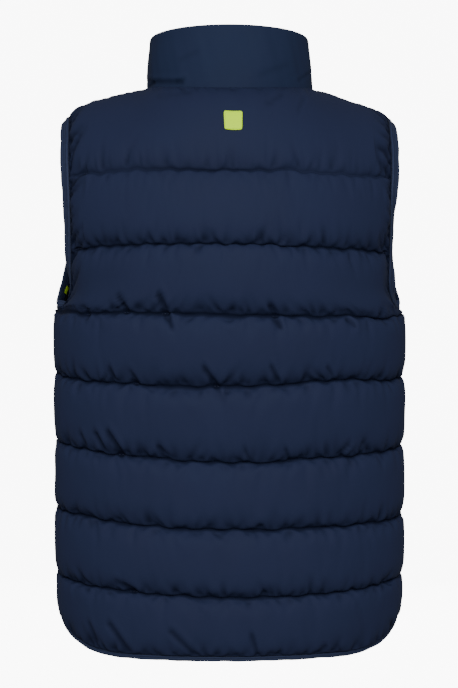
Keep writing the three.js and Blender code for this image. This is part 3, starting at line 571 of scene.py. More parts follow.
def facing_out(points, faces):
    """The faces, turned round if they point inwards."""
    volume = 0.0
    for face in faces:
        a = points[face[0]]
        for i in range(1, len(face) - 1):
            volume += float(np.dot(a, np.cross(points[face[i]], points[face[i + 1]])))
    return faces if volume > 0 else [tuple(face[::-1]) for face in faces]


def make_piece(context, name, points_mm, faces, materials, body="vest", replaces=(), cut=None):
    """A piece from points in millimetres on a body. cut gives each point's place on the flat cloth."""
    mesh = bpy.data.meshes.new(name)
    mesh.from_pydata((np.asarray(points_mm) / 1000).tolist(), [], [tuple(int(i) for i in f) for f in faces])
    mesh.validate()
    mesh.polygons.foreach_set("use_smooth", np.ones(len(mesh.polygons), bool))
    for material in materials:
        mesh.materials.append(material)
    if cut is not None:
        corners = np.empty(len(mesh.loops), np.int32)
        mesh.loops.foreach_get("vertex_index", corners)
        layer = mesh.uv_layers.new(name="cut")
        layer.data.foreach_set("uv", np.asarray(cut)[corners].astype(np.float32).ravel())
    piece = bpy.data.objects.new(name, mesh)
    context.scene.collection.objects.link(piece)
    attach(piece, body)
    for node in replaces:
        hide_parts(node)
    return piece


def apply_subdivision(context, piece, levels=1):
    """The piece's mesh, subdivided. The modifier is gone afterwards."""
    smooth = piece.modifiers.new("smooth", "SUBSURF")
    smooth.levels = smooth.render_levels = levels
    done = bpy.data.meshes.new_from_object(piece.evaluated_get(context.evaluated_depsgraph_get()))
    piece.modifiers.clear()
    old, piece.data = piece.data, done
    done.name = piece.name
    bpy.data.meshes.remove(old)


# Shader maths.
class Wire:
    """An output socket of one material, so that its maths reads as an expression."""

    def __init__(self, shader, socket):
        self.shader, self.socket = shader, socket

    def maths(self, operation, *others):
        return self.shader.node("ShaderNodeMath", {"operation": operation}, (self, *others))

    def __add__(self, other):
        return self.maths("ADD", other)

    def __mul__(self, other):
        return self.maths("MULTIPLY", other)

    def __sub__(self, other):
        return self.maths("SUBTRACT", other)

    def __rsub__(self, other):
        return self.shader.node("ShaderNodeMath", {"operation": "SUBTRACT"}, (other, self))

    __radd__, __rmul__ = __add__, __mul__


class Shader:
    """One material's nodes around a Principled shader."""

    def __init__(self, name, constants=None):
        self.material = bpy.data.materials.new(name)
        self.material.use_nodes = True
        self.tree = self.material.node_tree
        self.principled = self.tree.nodes["Principled BSDF"]
        for socket, value in (constants or {}).items():
            self.principled.inputs[socket].default_value = value

    def node(self, kind, settings=None, sockets=(), output=0):
        made = self.tree.nodes.new(kind)
        for name, value in (settings or {}).items():
            setattr(made, name, value)
        pairs = sockets.items() if isinstance(sockets, dict) else enumerate(sockets)
        for key, value in pairs:
            self.feed(made.inputs[key], value)
        return Wire(self, made.outputs[output])

    def feed(self, socket, value):
        if isinstance(value, Wire):
            self.tree.links.new(value.socket, socket)
        else:
            socket.default_value = value

    def drive(self, socket, value):
        self.feed(self.principled.inputs[socket], value)
        return self

    def place(self):
        return self.node("ShaderNodeTexCoord", output=3)

    def cut_place(self):
        return self.node("ShaderNodeUVMap", {"uv_map": "cut"})

    def noise(self, vector, scale, detail=2.0, roughness=0.5):
        settings = {"noise_dimensions": "3D"}
        sockets = {"Vector": vector, "Scale": scale, "Detail": detail, "Roughness": roughness}
        return self.node("ShaderNodeTexNoise", settings, sockets)

    def mix(self, factor, low, high):
        sockets = {0: factor, 6: low, 7: high}
        return self.node("ShaderNodeMix", {"data_type": "RGBA"}, sockets, output=2)

    def threads(self, place, pitch, along="X"):
        """Rounded threads side by side, from 0 between two to 1 on top of one."""
        parts = self.node("ShaderNodeSeparateXYZ", sockets=(place,), output={"X": 0, "Y": 1, "Z": 2}[along])
        return (parts * (math.pi / pitch)).maths("SINE").maths("ABSOLUTE")

    def bump(self, height, strength, distance, under=None):
        sockets = {"Strength": strength, "Distance": distance, "Height": height}
        if under is not None:
            sockets["Normal"] = under
        return self.node("ShaderNodeBump", sockets=sockets)


def shade(colour, factor):
    return tuple(c * factor for c in colour[:3]) + (1.0,)


# Painted shade: the near-black navy that the cloth's colour is mixed towards in seams, folds and grooves,
# where shade falls.
CREASE_SHADE_COLOUR = (0.0010, 0.0024, 0.0095, 1.0)


def woven(name, colour, roughness, pitch=0.00045, specular=0.3, painted_glow=0.0, painted_shade_in_creases=False):
    """A plain weave on the flat cut: fine crossing threads, with broad soft changes of tone and gloss,
    painted shade in its creases where asked, and painted light where it glows.
    """
    # The emission strength paints light into the cloth: above nought, the cloth glows though it is no lamp.
    shader = Shader(name, {
        "Specular IOR Level": specular, "Emission Color": shade(colour, 1.0), "Emission Strength": painted_glow,
    })
    cut = shader.cut_place()
    place = shader.place()
    weave = shader.threads(cut, pitch, "X").maths("MAXIMUM", shader.threads(cut, pitch, "Y"))
    tone = shader.noise(place, 14.0, 3.0)
    fleck = shader.noise(place, 900.0, 1.0)
    mottle_and_shade = shader.mix(tone * 0.6 + fleck * 0.4, shade(colour, 0.86), shade(colour, 1.14))
    if painted_shade_in_creases:
        # Painted shade: the colour is mixed towards the dark navy by a per-point value that is highest in
        # seams, folds and grooves.
        crease = shader.node("ShaderNodeAttribute", {"attribute_name": "crease"}, output=2)
        mottle_and_shade = shader.mix(crease, mottle_and_shade, CREASE_SHADE_COLOUR)
    shader.drive("Base Color", mottle_and_shade)
    rough = tone * 0.14 + (roughness - 0.07)
    shader.drive("Roughness", rough + crease * 0.25 if painted_shade_in_creases else rough)
    crumple = shader.bump(shader.noise(place, 120.0, 3.0), 0.35, 0.0006)
    shader.drive("Normal", shader.bump(weave, 0.25, 0.00006, crumple))
    return shader.material


def ribbed(name, colour, roughness, pitch=0.0011):
    """Elastic binding: fine ribs along its length, with painted highlights and shade in stripes along its
    ridges, and painted shade on its lip by the panel.
    """
    shader = Shader(name, {"Specular IOR Level": 0.15})
    cut = shader.cut_place()
    ribs = shader.threads(cut, pitch, "Y")
    place = shader.place()
    tone = shader.noise(place, 160.0, 2.0)
    from_lip = shader.node("ShaderNodeSeparateXYZ", sockets=(cut,), output=1)
    drift = shader.noise(place, 26.0, 1.0)
    # Painted highlights and shade: light and dark stripes along the soft ridges and ribs, mixed with random
    # tone.
    roll_light_and_shade = ((from_lip + drift * 0.004) * (math.pi / 0.0036)).maths("SINE").maths("ABSOLUTE")
    ribbing_tone_and_light = shader.mix(ribs * 0.2 + roll_light_and_shade * 0.55 + tone * 0.25, shade(colour, 0.45), shade(colour, 1.6))
    # Painted shade: the lip next to the panel is near black, where the groove between binding and panel lies
    # in shade.
    clear = shader.node("ShaderNodeMapRange", {"clamp": True}, {0: from_lip, 1: 0.0006, 2: 0.0022})
    shader.drive("Base Color", shader.mix(clear, shade(colour, 0.1), ribbing_tone_and_light))
    shader.drive("Roughness", tone * 0.12 + (roughness - 0.06))
    shader.drive("Normal", shader.bump(ribs + tone * 0.5, 0.5, 0.00035))
    return shader.material


def thread(name, colour):
    """Sewing thread: twisted, with a slight gloss."""
    shader = Shader(name, {"Specular IOR Level": 0.35})
    place = shader.place()
    tone = shader.noise(place, 2400.0, 1.0)
    shader.drive("Base Color", shader.mix(tone, shade(colour, 0.8), shade(colour, 1.25)))
    shader.drive("Roughness", tone * 0.2 + 0.45)
    return shader.material


def plastic(name, colour, roughness):
    """Moulded plastic with a faint grain."""
    shader = Shader(name, {"Specular IOR Level": 0.45})
    tone = shader.noise(shader.place(), 700.0, 2.0)
    shader.drive("Base Color", shader.mix(tone, shade(colour, 0.85), shade(colour, 1.15)))
    shader.drive("Roughness", tone * 0.15 + (roughness - 0.07))
    shader.drive("Normal", shader.bump(tone, 0.15, 0.00008))
    return shader.material


def lacquered(name, colour):
    """Dark lacquered metal, rubbed a little brighter where it wears."""
    shader = Shader(name, {"Metallic": 0.8})
    tone = shader.noise(shader.place(), 420.0, 3.0)
    shader.drive("Base Color", shader.mix(tone, shade(colour, 0.7), shade(colour, 1.5)))
    shader.drive("Roughness", tone * 0.22 + 0.24)
    shader.drive("Normal", shader.bump(tone, 0.12, 0.0001))
    return shader.material


def colour_property(name, description, default):
    return bpy.props.FloatVectorProperty(
        name=name, description=description, default=default, subtype="COLOR", size=3, min=0, max=1)


class QuiltedVestLook(bpy.types.PropertyGroup):
    """Sizes and colours of the vest that a user would change."""

    padding_pressure: bpy.props.FloatProperty(
        name="Padding Pressure", description="How hard the padding blows the cloth out", default=2.0, min=0.0)
    fullness: bpy.props.FloatProperty(
        name="Fullness", description="How much more cloth there is than its seams hold", default=0.1, min=0.0)
    cloth_cap: bpy.props.FloatProperty(
        name="Cloth Cap", description="How far the cloth may move from its first shape",
        default=0.004, unit="LENGTH")
    pucker_depth: bpy.props.FloatProperty(
        name="Pucker Depth", description="Depth of the small folds along the seams",
        default=0.0032, unit="LENGTH")
    stitch_length: bpy.props.FloatProperty(
        name="Stitch Length", description="Length of one stitch", default=0.0032, unit="LENGTH")
    shell_colour: colour_property("Shell", "Colour of the quilted cloth", (0.0150, 0.0215, 0.0560))
    collar_colour: colour_property("Collar", "Colour of the collar's cloth", (0.0130, 0.0215, 0.0540))
    lining_colour: colour_property("Lining", "Colour of the lining", (0.0030, 0.0033, 0.0040))
    binding_colour: colour_property("Binding", "Colour of the elastic binding", (0.0160, 0.0235, 0.0560))
    zip_colour: colour_property("Zip", "Colour of the zip's tape and teeth", (0.0080, 0.0105, 0.0200))
    metal_colour: colour_property("Slider", "Colour of the slider and its pull", (0.0400, 0.0430, 0.0500))
    patch_colour: colour_property("Patch", "Colour of the neck patch", (0.5600, 0.9000, 0.0000))


class VestStage(bpy.types.PropertyGroup):
    """The studio's light and camera."""

    key_power: bpy.props.FloatProperty(
        name="Key Light", description="Power of the large light above the camera",
        default=105.0, unit="POWER")
    side_power: bpy.props.FloatProperty(
        name="Side Light", description="Power of each side light", default=6.0, unit="POWER")
    sky_strength: bpy.props.FloatProperty(
        name="Sky", description="Strength of the light from all round", default=0.3, min=0.0)
    backdrop_level: bpy.props.FloatProperty(
        name="Backdrop", description="Brightness of the backdrop", default=9.0, min=0.0)


def set_value(mesh, name, values, domain="POINT"):
    """Gives each point or edge of a mesh its value under this name."""
    mesh.attributes.new(name, "FLOAT", domain).data.foreach_set("value", values.astype(np.float32))


def mesh_points(mesh):
    """The points of a mesh in millimetres, and its normals."""
    points, normals = (np.empty(len(mesh.vertices) * 3, np.float32) for _ in range(2))
    mesh.vertices.foreach_get("co", points)
    mesh.vertex_normals.foreach_get("vector", normals)
    return points.reshape(-1, 3).astype(float) * 1000, normals.reshape(-1, 3).astype(float)


def cloth_cut(panel, count):
    """Each point's place on the flat cloth, in metres, for the shell and then the lining."""
    flat = np.stack([panel.run, panel.drop], axis=-1).reshape(-1, 2) / 1000
    return np.concatenate([flat, flat])[:count]


def seam_puckers(run, offset, seed, span, above, slant=0.0, start=(0.8, 5.0), least=0.0):
    """Small folds that run out from a seam: how far the cloth dips at each point near it."""
    random = np.random.default_rng(seed)
    total = np.zeros_like(run)
    s = span[0] + random.uniform(0, 12)
    while s < span[1]:
        strong = least + (1 - least) * random.random()
        reach = random.uniform(8, 15) + 20 * strong**3 if above else random.uniform(6, 11) + 12 * strong**3
        depth = (0.35 + 0.9 * strong) * (1.0 if above else 0.75)
        width = random.uniform(2.1, 3.2) + 1.4 * strong
        lean = random.normal(slant, 0.4)
        near = np.abs(run - s) < 4 * width + 14
        if near.any():
            d = offset[near]
            t = np.clip(d / reach, 0, 1)
            fade = (1 - t) ** 1.3 * smoothstep(d, *start)
            u = (run[near] - s - lean * d) / (width * (0.8 + 0.9 * t))
            total[near] += depth * fade * (0.55 * u * u - 1) * np.exp(-u * u)
        s += random.uniform(7, 16)
    return total


def seam_swells(run, offset, seed, span, above):
    """The broader hollows between the folds of a seam."""
    random = np.random.default_rng(seed)
    total = np.zeros_like(run)
    s = span[0] + random.uniform(0, 25)
    while s < span[1]:
        reach = random.uniform(12, 22) if above else random.uniform(8, 13)
        width, depth, lean = random.uniform(4.5, 7.5), random.uniform(0.4, 0.85), random.normal(0, 0.25)
        near = np.abs(run - s) < 4 * width + 8
        d = offset[near]
        fade = np.clip(1 - d / reach, 0, 1) ** 1.2 * smoothstep(d, 1, 6)
        u = (run[near] - s - lean * d) / width
        total[near] += depth * (1.0 if above else 0.6) * fade * (0.5 * u * u - 1) * np.exp(-u * u)
        s += random.uniform(18, 42)
    return total


def fold_dips(picture, folds):
    """The largest folds that show: how far each point dips, in millimetres, by its place in the picture."""
    total = np.zeros(picture.shape[:-1])
    for x0, y0, x1, y1, depth, width in folds:
        start, step = np.array([x0, y0]), np.array([x1 - x0, y1 - y0])
        t = np.clip(((picture - start) @ step) / (step @ step), 0, 1)
        off = picture - (start + t[..., None] * step)
        side = (off[..., 0] * step[1] - off[..., 1] * step[0]) / math.hypot(*step)
        away = np.hypot(off[..., 0], off[..., 1])
        u = away / width
        ridge = np.exp(-((side / width - 1.6) ** 2)) * np.exp(-((away / (2.4 * width)) ** 4))
        total += depth * (np.exp(-u * u) * (0.35 * u * u - 1) + 0.35 * ridge)
    return total


def crease_cloth(piece, panel, depth):
    """Adds the folds along the seams to the subdivided cloth of one panel, and paints shade into its seams,
    folds and the groove by the armhole bindings.
    """
    mesh = piece.data
    count = len(mesh.vertices)
    points, normals = mesh_points(mesh)
    read = lambda name: np.array([item.value for item in mesh.attributes[name].data])
    place, run, outer, inset = read("place"), read("run"), read("outer"), read("inset")
    dips = np.zeros(count)
    span = (panel.run.min(), panel.run.max())
    for seam in range(1, HEM + 1):
        pitch = 84.0
        for above in (True, False):
            if seam == HEM and not above:
                continue
            offset = (seam - place) * pitch if above else (place - seam) * pitch
            near = (offset >= 0) & (offset < 40) & (outer > 0.5)
            seed = 1000 * seam + 10 * above + panel.back + 3 * panel.side
            strength = 0.5 if seam == 1 else 1
            dips[near] += strength * seam_puckers(run[near], offset[near], seed, span, above)
            dips[near] += strength * seam_swells(run[near], offset[near], seed + 5, span, above)
    near = (place >= 0) & (place < 0.4) & (outer > 0.5)
    dips[near] += 0.6 * seam_puckers(run[near], place[near] * 100, 77 + panel.side, span, False)
    for sign in ((-1, 1) if panel.back else (panel.side,)):
        edge = (inset < 30) & (outer > 0.5) & (run * sign > 0) & (place < UNDERARM)
        dips[edge] += 1.3 * seam_puckers(place[edge] * 84, inset[edge] / 1.4, 500 + sign + 7 * panel.back,
                                         (0, UNDERARM * 84), True, -0.8, (-0.5, 1.5), 0.45)
    if panel.back:
        facing = (outer > 0.5) & (normals[:, 1] > 0)
        dips[facing] += 1.5 * fold_dips(in_picture(points[facing]), BACK_FOLDS) / depth
    to_seam = np.abs(place - np.round(place)) * 84
    least = -(2.2 + 1.6 * smoothstep(to_seam, 1.5, 9)) / depth
    dips = np.where(dips < 0.6 * least, 0.6 * least + 0.4 * least * np.tanh((dips / least - 0.6) / 0.4), dips)
    points += normals * (dips * depth * np.clip(outer, 0, 1))[:, None]
    # Painted shade: a dark line along each seam and a band of shade above it under the puff, softer at the
    # first seam; shade in the deepest folds; and dark dashes in the groove by the armhole binding.
    below = (place - np.round(place)) * 84
    seam_shade = 0.8 * np.exp(-((below / 1.5) ** 2)) + 0.42 * np.exp(below / 6.0) * (below < 0)
    inner_seam = smoothstep(place, 0.4, 0.6) * smoothstep(inset, 1, 9)
    at_first = 0.35 + 0.4 * np.exp(-(((run - 20) / 75) ** 2)) + 0.12 * smoothstep(run, 0, 60)
    seam_shade = seam_shade * np.where(place < 1.5, at_first, 1)
    seam_shade = np.clip(seam_shade, 0, 0.85) * inner_seam * (outer > 0.5)
    fold_shade = np.clip(-dips * depth / 3.2, 0, 1) ** 1.3 * 0.6 * (outer > 0.5)
    dashes = 0.72 + 0.2 * np.sin(2 * np.pi * place * 84 / 7.3)
    binding_groove_shade = dashes * np.exp(-((inset / 3.6) ** 2)) * (place < UNDERARM)
    shaded = 1 - (1 - seam_shade) * (1 - fold_shade) * (1 - binding_groove_shade)
    set_value(mesh, "crease", shaded)
    mesh.vertices.foreach_set("co", (points / 1000).astype(np.float32).ravel())
    for name in ("place", "run", "outer", "inset"):
        mesh.attributes.remove(mesh.attributes[name])
    mesh.update()


def sew_panel(context, name, panel, shell_material, lining_material, node):
    look = context.scene.quilted_vest
    shell = blow_out(context, panel)
    points, faces, rim_end = closed_wall(shell, panel.lining)
    used = np.zeros(len(points), bool)
    for face in faces:
        used[list(face)] = True
    new = np.cumsum(used) - 1
    faces = [tuple(int(new[i]) for i in face) for face in faces]
    faces = facing_out(points[used], faces)
    cut = cloth_cut(panel, len(points))[used]
    piece = make_piece(context, name, points[used], faces, [shell_material, lining_material],
                       replaces=(node,), cut=cut)
    mesh = piece.data
    slots = np.zeros(len(mesh.polygons), np.int32)
    slots[rim_end:] = 1
    mesh.polygons.foreach_set("material_index", slots)
    total = panel.place.size
    doubled = lambda grid, lining_value=None: np.concatenate([
        grid.ravel(), grid.ravel() if lining_value is None else np.full(total, lining_value)])[used]
    edge_mask = np.ones_like(panel.place)
    edge_mask[0], edge_mask[-1], edge_mask[:, 0], edge_mask[:, -1] = 0, 0, 0, 0
    for label, values in (("place", doubled(panel.place)), ("run", doubled(panel.run)),
                          ("outer", doubled(edge_mask, 0.0)), ("inset", doubled(panel.inset))):
        set_value(mesh, label, values)
    rim = np.concatenate([edge_mask.ravel(), edge_mask.ravel()])[used] < 0.5
    ends = np.empty(2 * len(mesh.edges), np.int32)
    mesh.edges.foreach_get("vertices", ends)
    sharp = rim[ends.reshape(-1, 2)].all(axis=1)
    set_value(mesh, "crease_edge", sharp, "EDGE")
    apply_subdivision(context, piece)
    crease_cloth(piece, panel, look.pucker_depth * 1000)
    return piece


class VEST_OT_panels(bpy.types.Operator):
    """Sew the quilted back and the two quilted fronts"""
    bl_idname = "vest.panels"
    bl_label = "Quilted Panels"

    def execute(self, context):
        look = context.scene.quilted_vest
        shell = woven("navy quilted shell", look.shell_colour, 0.72, specular=0.1, painted_shade_in_creases=True)
        lining = woven("dark lining", look.lining_colour, 0.6, specular=0.2)
        sew_panel(context, "back_panel_cloth", Panel(True), shell, lining, "back_panel")
        sew_panel(context, "front_left_cloth", Panel(False, 1), shell, lining, "front_left")
        sew_panel(context, "front_right_cloth", Panel(False, -1), shell, lining, "front_right")
        return {"FINISHED"}


# The collar.
COLLAR_TOP_HALF_WIDTH = 100
COLLAR_TOP_BACK_Y = 73
COLLAR_TOP_FRONT_Y = -80
COLLAR_THICKNESS = 7
COLLAR_BULGE = 1.2
COLLAR_SKIRT = 1.5
COLLAR_TOP_Z = 70
SEAM_GAP = 0.35


def collar_point(angle, height, depth):
    """A point of the collar: its angle round the neck, its share of the height, and its depth in the wall."""
    base = neckline_point(angle)
    out = unit(np.stack([
        base[..., 0] / NECK_HALF_WIDTH**2, (base[..., 1] - NECK_CENTRE_Y) / NECK_BACK_DEPTH**2,
        np.zeros_like(base[..., 0]),
    ], axis=-1))
    top_y = np.where(np.cos(angle) > 0, COLLAR_TOP_BACK_Y, -COLLAR_TOP_FRONT_Y)
    top_z = COLLAR_TOP_Z - 9 * (1 - np.cos(angle)) - 39 * smoothstep(np.degrees(angle), 70, 180)
    top = np.stack([COLLAR_TOP_HALF_WIDTH * np.sin(angle), top_y * np.cos(angle), top_z], axis=-1)
    base = base - out * SEAM_GAP
    base[..., 2] -= COLLAR_SKIRT
    bulge = COLLAR_BULGE * np.sin(np.pi * height) ** 2
    return base + (top - base) * height[..., None] + out * (bulge - depth)[..., None]


class VEST_OT_collar(bpy.types.Operator):
    """Make the padded stand collar"""
    bl_idname = "vest.collar"
    bl_label = "Collar"

    def execute(self, context):
        look = context.scene.quilted_vest
        half = np.linspace(0, 1, 120)
        front = neckline_angle(False, np.array(0.0))
        angle = np.concatenate([front * (1 - half), -front * half[1:]])
        section = []
        for t in np.linspace(0, 1, 26):
            section.append((t * 0.965, 0.0))
        for turn in np.linspace(0, np.pi, 9)[1:-1]:
            section.append((0.965 + 0.035 * math.sin(turn), COLLAR_THICKNESS * (1 - math.cos(turn)) / 2))
        for t in np.linspace(1, 0, 14):
            section.append((t * 0.965, COLLAR_THICKNESS))
        stations = []
        sign = np.where(angle < 0, -1, 1)
        for height, depth in section:
            h = np.full_like(angle, height)
            p = collar_point(np.abs(angle), h, np.full_like(angle, depth))
            around = np.degrees(angle) * 1.75
            soft = waviness(around + 14 * height, 5, (47, 83, 151), (0.3, 0.45, 0.7))
            fine = waviness(around * 1.0 - 22 * height, 9, (17, 29, 41), (0.12, 0.16, 0.2))
            mid = math.sin(math.pi * min(height, 1))
            lean = soft * mid * 0.9 + fine * mid**0.5
            if depth == 0:
                p = p + unit(np.stack([p[:, 0], p[:, 1] * 1.3, 0 * p[:, 0]], -1)) * lean[:, None]
                p[:, 2] += 0.5 * waviness(around, 21, (61, 113), (0.5, 0.8)) * height**3
            p[:, 0] *= sign
            p[:, 0] -= 2.6 * (1 - min(height, 1)) ** 1.2 * smoothstep(-p[:, 0], 40, 100)
            stations.append(p)
        stations = np.array(stations).transpose(1, 0, 2)
        points, faces = swept(stations, False)
        run = np.abs(angle) * 95 * sign
        rise = run_of(stations[60])
        cut = np.stack(np.broadcast_arrays(run[:, None], rise[None, :]), axis=-1).reshape(-1, 2) / 1000
        shell = woven("navy collar shell", look.collar_colour, 0.72, specular=0.1, painted_shade_in_creases=True)
        piece = make_piece(context, "collar_cloth", points, facing_out(points, faces), [shell],
                           replaces=("collar",), cut=cut)
        share = np.tile(np.array([height + (depth > 0) for height, depth in section]), len(angle))
        set_value(piece.data, "share", share)
        apply_subdivision(context, piece)
        self.fold(piece)
        return {"FINISHED"}

    @staticmethod
    def fold(piece):
        """Presses the soft folds into the collar, and paints shade into them and along its base seam."""
        mesh = piece.data
        points, normals = mesh_points(mesh)
        share = np.array([item.value for item in mesh.attributes["share"].data])
        facing = (normals[:, 1] > 0) & (share < 0.99)
        dips = np.zeros(len(points))
        folds = fold_dips(in_picture(points[facing]), COLLAR_FOLDS)
        dips[facing] = folds * smoothstep(share[facing], 0, 0.05)
        points += normals * dips[:, None]
        mesh.vertices.foreach_set("co", (points / 1000).astype(np.float32).ravel())
        # Painted shade in the pressed folds and along the collar's base seam, where shade falls.
        dark = 1 - (1 - 0.6 * np.clip(-dips / 2.4, 0, 1)) * (1 - 0.75 * np.exp(-((share / 0.022) ** 2)))
        set_value(mesh, "crease", dark)
        mesh.attributes.remove(mesh.attributes["share"])
        mesh.update()


# The bindings: folded elastic strips round the panels' edges. The outside of the fold is given by how far out
# from the edge and how far through the cloth it is, as shares of the strip's width and thickness.
BINDING_OUTSIDE = (
    (-0.02, 0.84), (0.06, 0.76), (0.12, 0.86), (0.2, 1.05), (0.3, 1.1), (0.4, 0.99), (0.47, 0.94),
    (0.56, 1.02), (0.68, 1.07), (0.8, 1.0), (0.92, 0.82), (1.0, 0.5), (0.92, 0.18), (0.78, 0.0),
    (0.5, -0.07), (0.2, -0.05), (-0.02, 0.04),
)
BINDING_LAYER = 1.3
BINDING_THICKNESS = 4.6
ARMHOLE_BINDING_WIDTH = 14.8
ARMHOLE_BINDING_GAP = 0.4
HEM_BINDING_WIDTH = 7.0
HEM_BINDING_GAP = -0.35


def folded_section(width, thickness, layer):
    """The strip's section in millimetres: round its outside, and back along the inside of the fold."""
    outside = np.array(BINDING_OUTSIDE) * (width, thickness)
    slope = unit(np.gradient(outside, axis=0))
    inside = outside + np.stack([slope[:, 1], -slope[:, 0]], axis=-1) * layer
    inside[:, 0] = np.clip(inside[:, 0], outside[0, 0], width - layer)
    inside[:, 1] = np.clip(inside[:, 1], 0.04 * thickness + layer * 0.8, 0.96 * thickness - layer * 0.8)
    return np.concatenate([outside, inside[::-1]]), len(outside)


def edge_line(back, across, place):
    return lining_point(back, across, place), wall_normal(back, across, place)


def armhole_line(side, steps=150):
    """An armhole's edge from the underarm up the back and down the front, with its normals."""
    scoop = UNDERARM - 1 + np.linspace(0, 1, 60)
    place = np.concatenate([np.linspace(0, UNDERARM - 1, steps - 60)[:-1], scoop])
    up = place[::-1]
    if side > 0:
        turned = 34 * smoothstep(up, UNDERARM - 1, UNDERARM - 0.5)
        turned *= 1 - smoothstep(up, UNDERARM - 0.2, UNDERARM)
    else:
        turned = 17 * (smoothstep(up, 1.1, 1.6) - smoothstep(up, 2.0, 2.3))
        turned -= 19 * smoothstep(up, 2.1, 2.45) * (1 - smoothstep(up, 2.75, UNDERARM))
    rear_p, rear_n = edge_line(True, np.ones_like(up), up)
    fore_p, fore_n = edge_line(False, np.ones_like(place), place)
    points = np.concatenate([rear_p, fore_p])
    normals = np.concatenate([rear_n, fore_n])
    at_shoulder = lambda at: 14 * (1 - smoothstep(at, 0, 0.12))
    below_it = lambda at: 6 * smoothstep(at, 0.1, 0.3) * (1 - smoothstep(at, 0.8, 1.6))
    droop = lambda at: at_shoulder(at) - below_it(at)
    turn = np.radians(np.concatenate([turned + droop(up), droop(place)]))
    return points, normals, turn


def even_line(points, normals, turn, spacing, closed):
    """The same line with evenly spaced stations."""
    ring = lambda v: np.concatenate([v, v[:1]]) if closed else v
    p, n, t = ring(points), ring(normals), ring(turn)
    run = run_of(p)
    keep = np.concatenate([[True], np.diff(run) > 1e-6])
    p, n, t, run = p[keep], n[keep], t[keep], run[keep]
    count = int(run[-1] / spacing)
    at = np.linspace(0, run[-1], count + 1)
    at = at[:-1] if closed else np.concatenate([[0, 0.4], at[1:-1], [run[-1] - 0.4, run[-1]]])
    pick = lambda v: np.stack([np.interp(at, run, v[:, k]) for k in range(3)], axis=-1)
    blur = lambda v: (np.roll(v, 1, 0) + 2 * v + np.roll(v, -1, 0)) / 4 if closed else v
    n = pick(n)
    for _ in range(4):
        n = blur(n)
    return pick(p), unit(n), np.interp(at, run, t), at


def turned_frame(points, normals, turn, closed):
    """Unit vectors at each station: along the line, out from the edge, and out of the cloth."""
    if closed:
        along = unit(np.roll(points, -1, 0) - np.roll(points, 1, 0))
    else:
        along = unit(np.gradient(points, axis=0))
    out = unit(np.cross(normals, along))
    c, s = np.cos(turn)[:, None], np.sin(turn)[:, None]
    return along, out * c - normals * s, normals * c + out * s, out


def binding(context, name, line, width, gap, closed, node, side, material, seed):
    """One folded strip along a line of edge, for the side of the vest it is on."""
    points, normals, turn, at = line
    along, out, face, plain_out = turned_frame(points, normals, turn, closed)
    wobble = waviness(at, seed, (23, 37, 61), (0.2, 0.25, 0.3))
    pinch = waviness(at, seed + 1, (7, 11, 17), (0.12, 0.15, 0.12))
    section, outside = folded_section(width, BINDING_THICKNESS, BINDING_LAYER)
    stations = []
    for reach, through in section:
        share = np.clip(reach / width, 0, 1)
        lift = through + pinch * math.sin(math.pi * share) + wobble * 0.3 * share
        outward = out * (reach + wobble * 0.6 * share)[:, None]
        stations.append(points + plain_out * gap + outward + face * lift[:, None])
    stations = np.array(stations).transpose(1, 0, 2) * (side, 1, 1)
    made, faces = swept(stations, closed)
    rise = run_of(section)
    cut = np.stack(np.broadcast_arrays(at[:, None], rise[None, :]), axis=-1).reshape(-1, 2) / 1000
    piece = make_piece(context, name, made, facing_out(made, faces), [material],
                       replaces=(node,), cut=cut)
    apply_subdivision(context, piece)
    length = (at[-1] + (np.linalg.norm(points[0] - points[-1]) if closed else 0)) / 1000
    return piece


def hem_line():
    """The hem's edge from the zip round the wearer's left side and the back to the zip again."""
    fine = np.linspace(0, 1, 160)
    fore_p, fore_n = edge_line(False, fine, np.full_like(fine, HEM))
    rear_p, rear_n = edge_line(True, fine[::-1], np.full_like(fine, HEM))
    half_p, half_n = np.concatenate([fore_p, rear_p]), np.concatenate([fore_n, rear_n])
    flip = np.array([-1, 1, 1])
    points = np.concatenate([half_p, (half_p * flip)[-2::-1]])[::-1]
    normals = np.concatenate([half_n, (half_n * flip)[-2::-1]])[::-1]
    return points, normals, np.zeros(len(points))


class VEST_OT_bindings(bpy.types.Operator):
    """Bind the armholes and the hem with folded elastic"""
    bl_idname = "vest.bindings"
    bl_label = "Bindings"

    def execute(self, context):
        look = context.scene.quilted_vest
        material = ribbed("navy elastic binding", look.binding_colour, 0.62)
        for name, side, seed in (("left", 1, 31), ("right", -1, 41)):
            line = even_line(*armhole_line(side), 2.2, True)
            binding(context, f"armhole_binding_{name}_cloth", line, ARMHOLE_BINDING_WIDTH,
                    ARMHOLE_BINDING_GAP, True, f"armhole_binding_{name}", side, material, seed)
        line = even_line(*hem_line(), 2.2, False)
        binding(context, "hem_binding_cloth", line, HEM_BINDING_WIDTH, HEM_BINDING_GAP, False,
                "hem_binding", 1, material, 51)
        return {"FINISHED"}


# The zip.
TAPE_INNER = 1.15
TAPE_OUTER = 8.9
TAPE_THICKNESS = 1.2
TAPE_DEPTH = 2.2
TOOTH_PITCH = 2.6


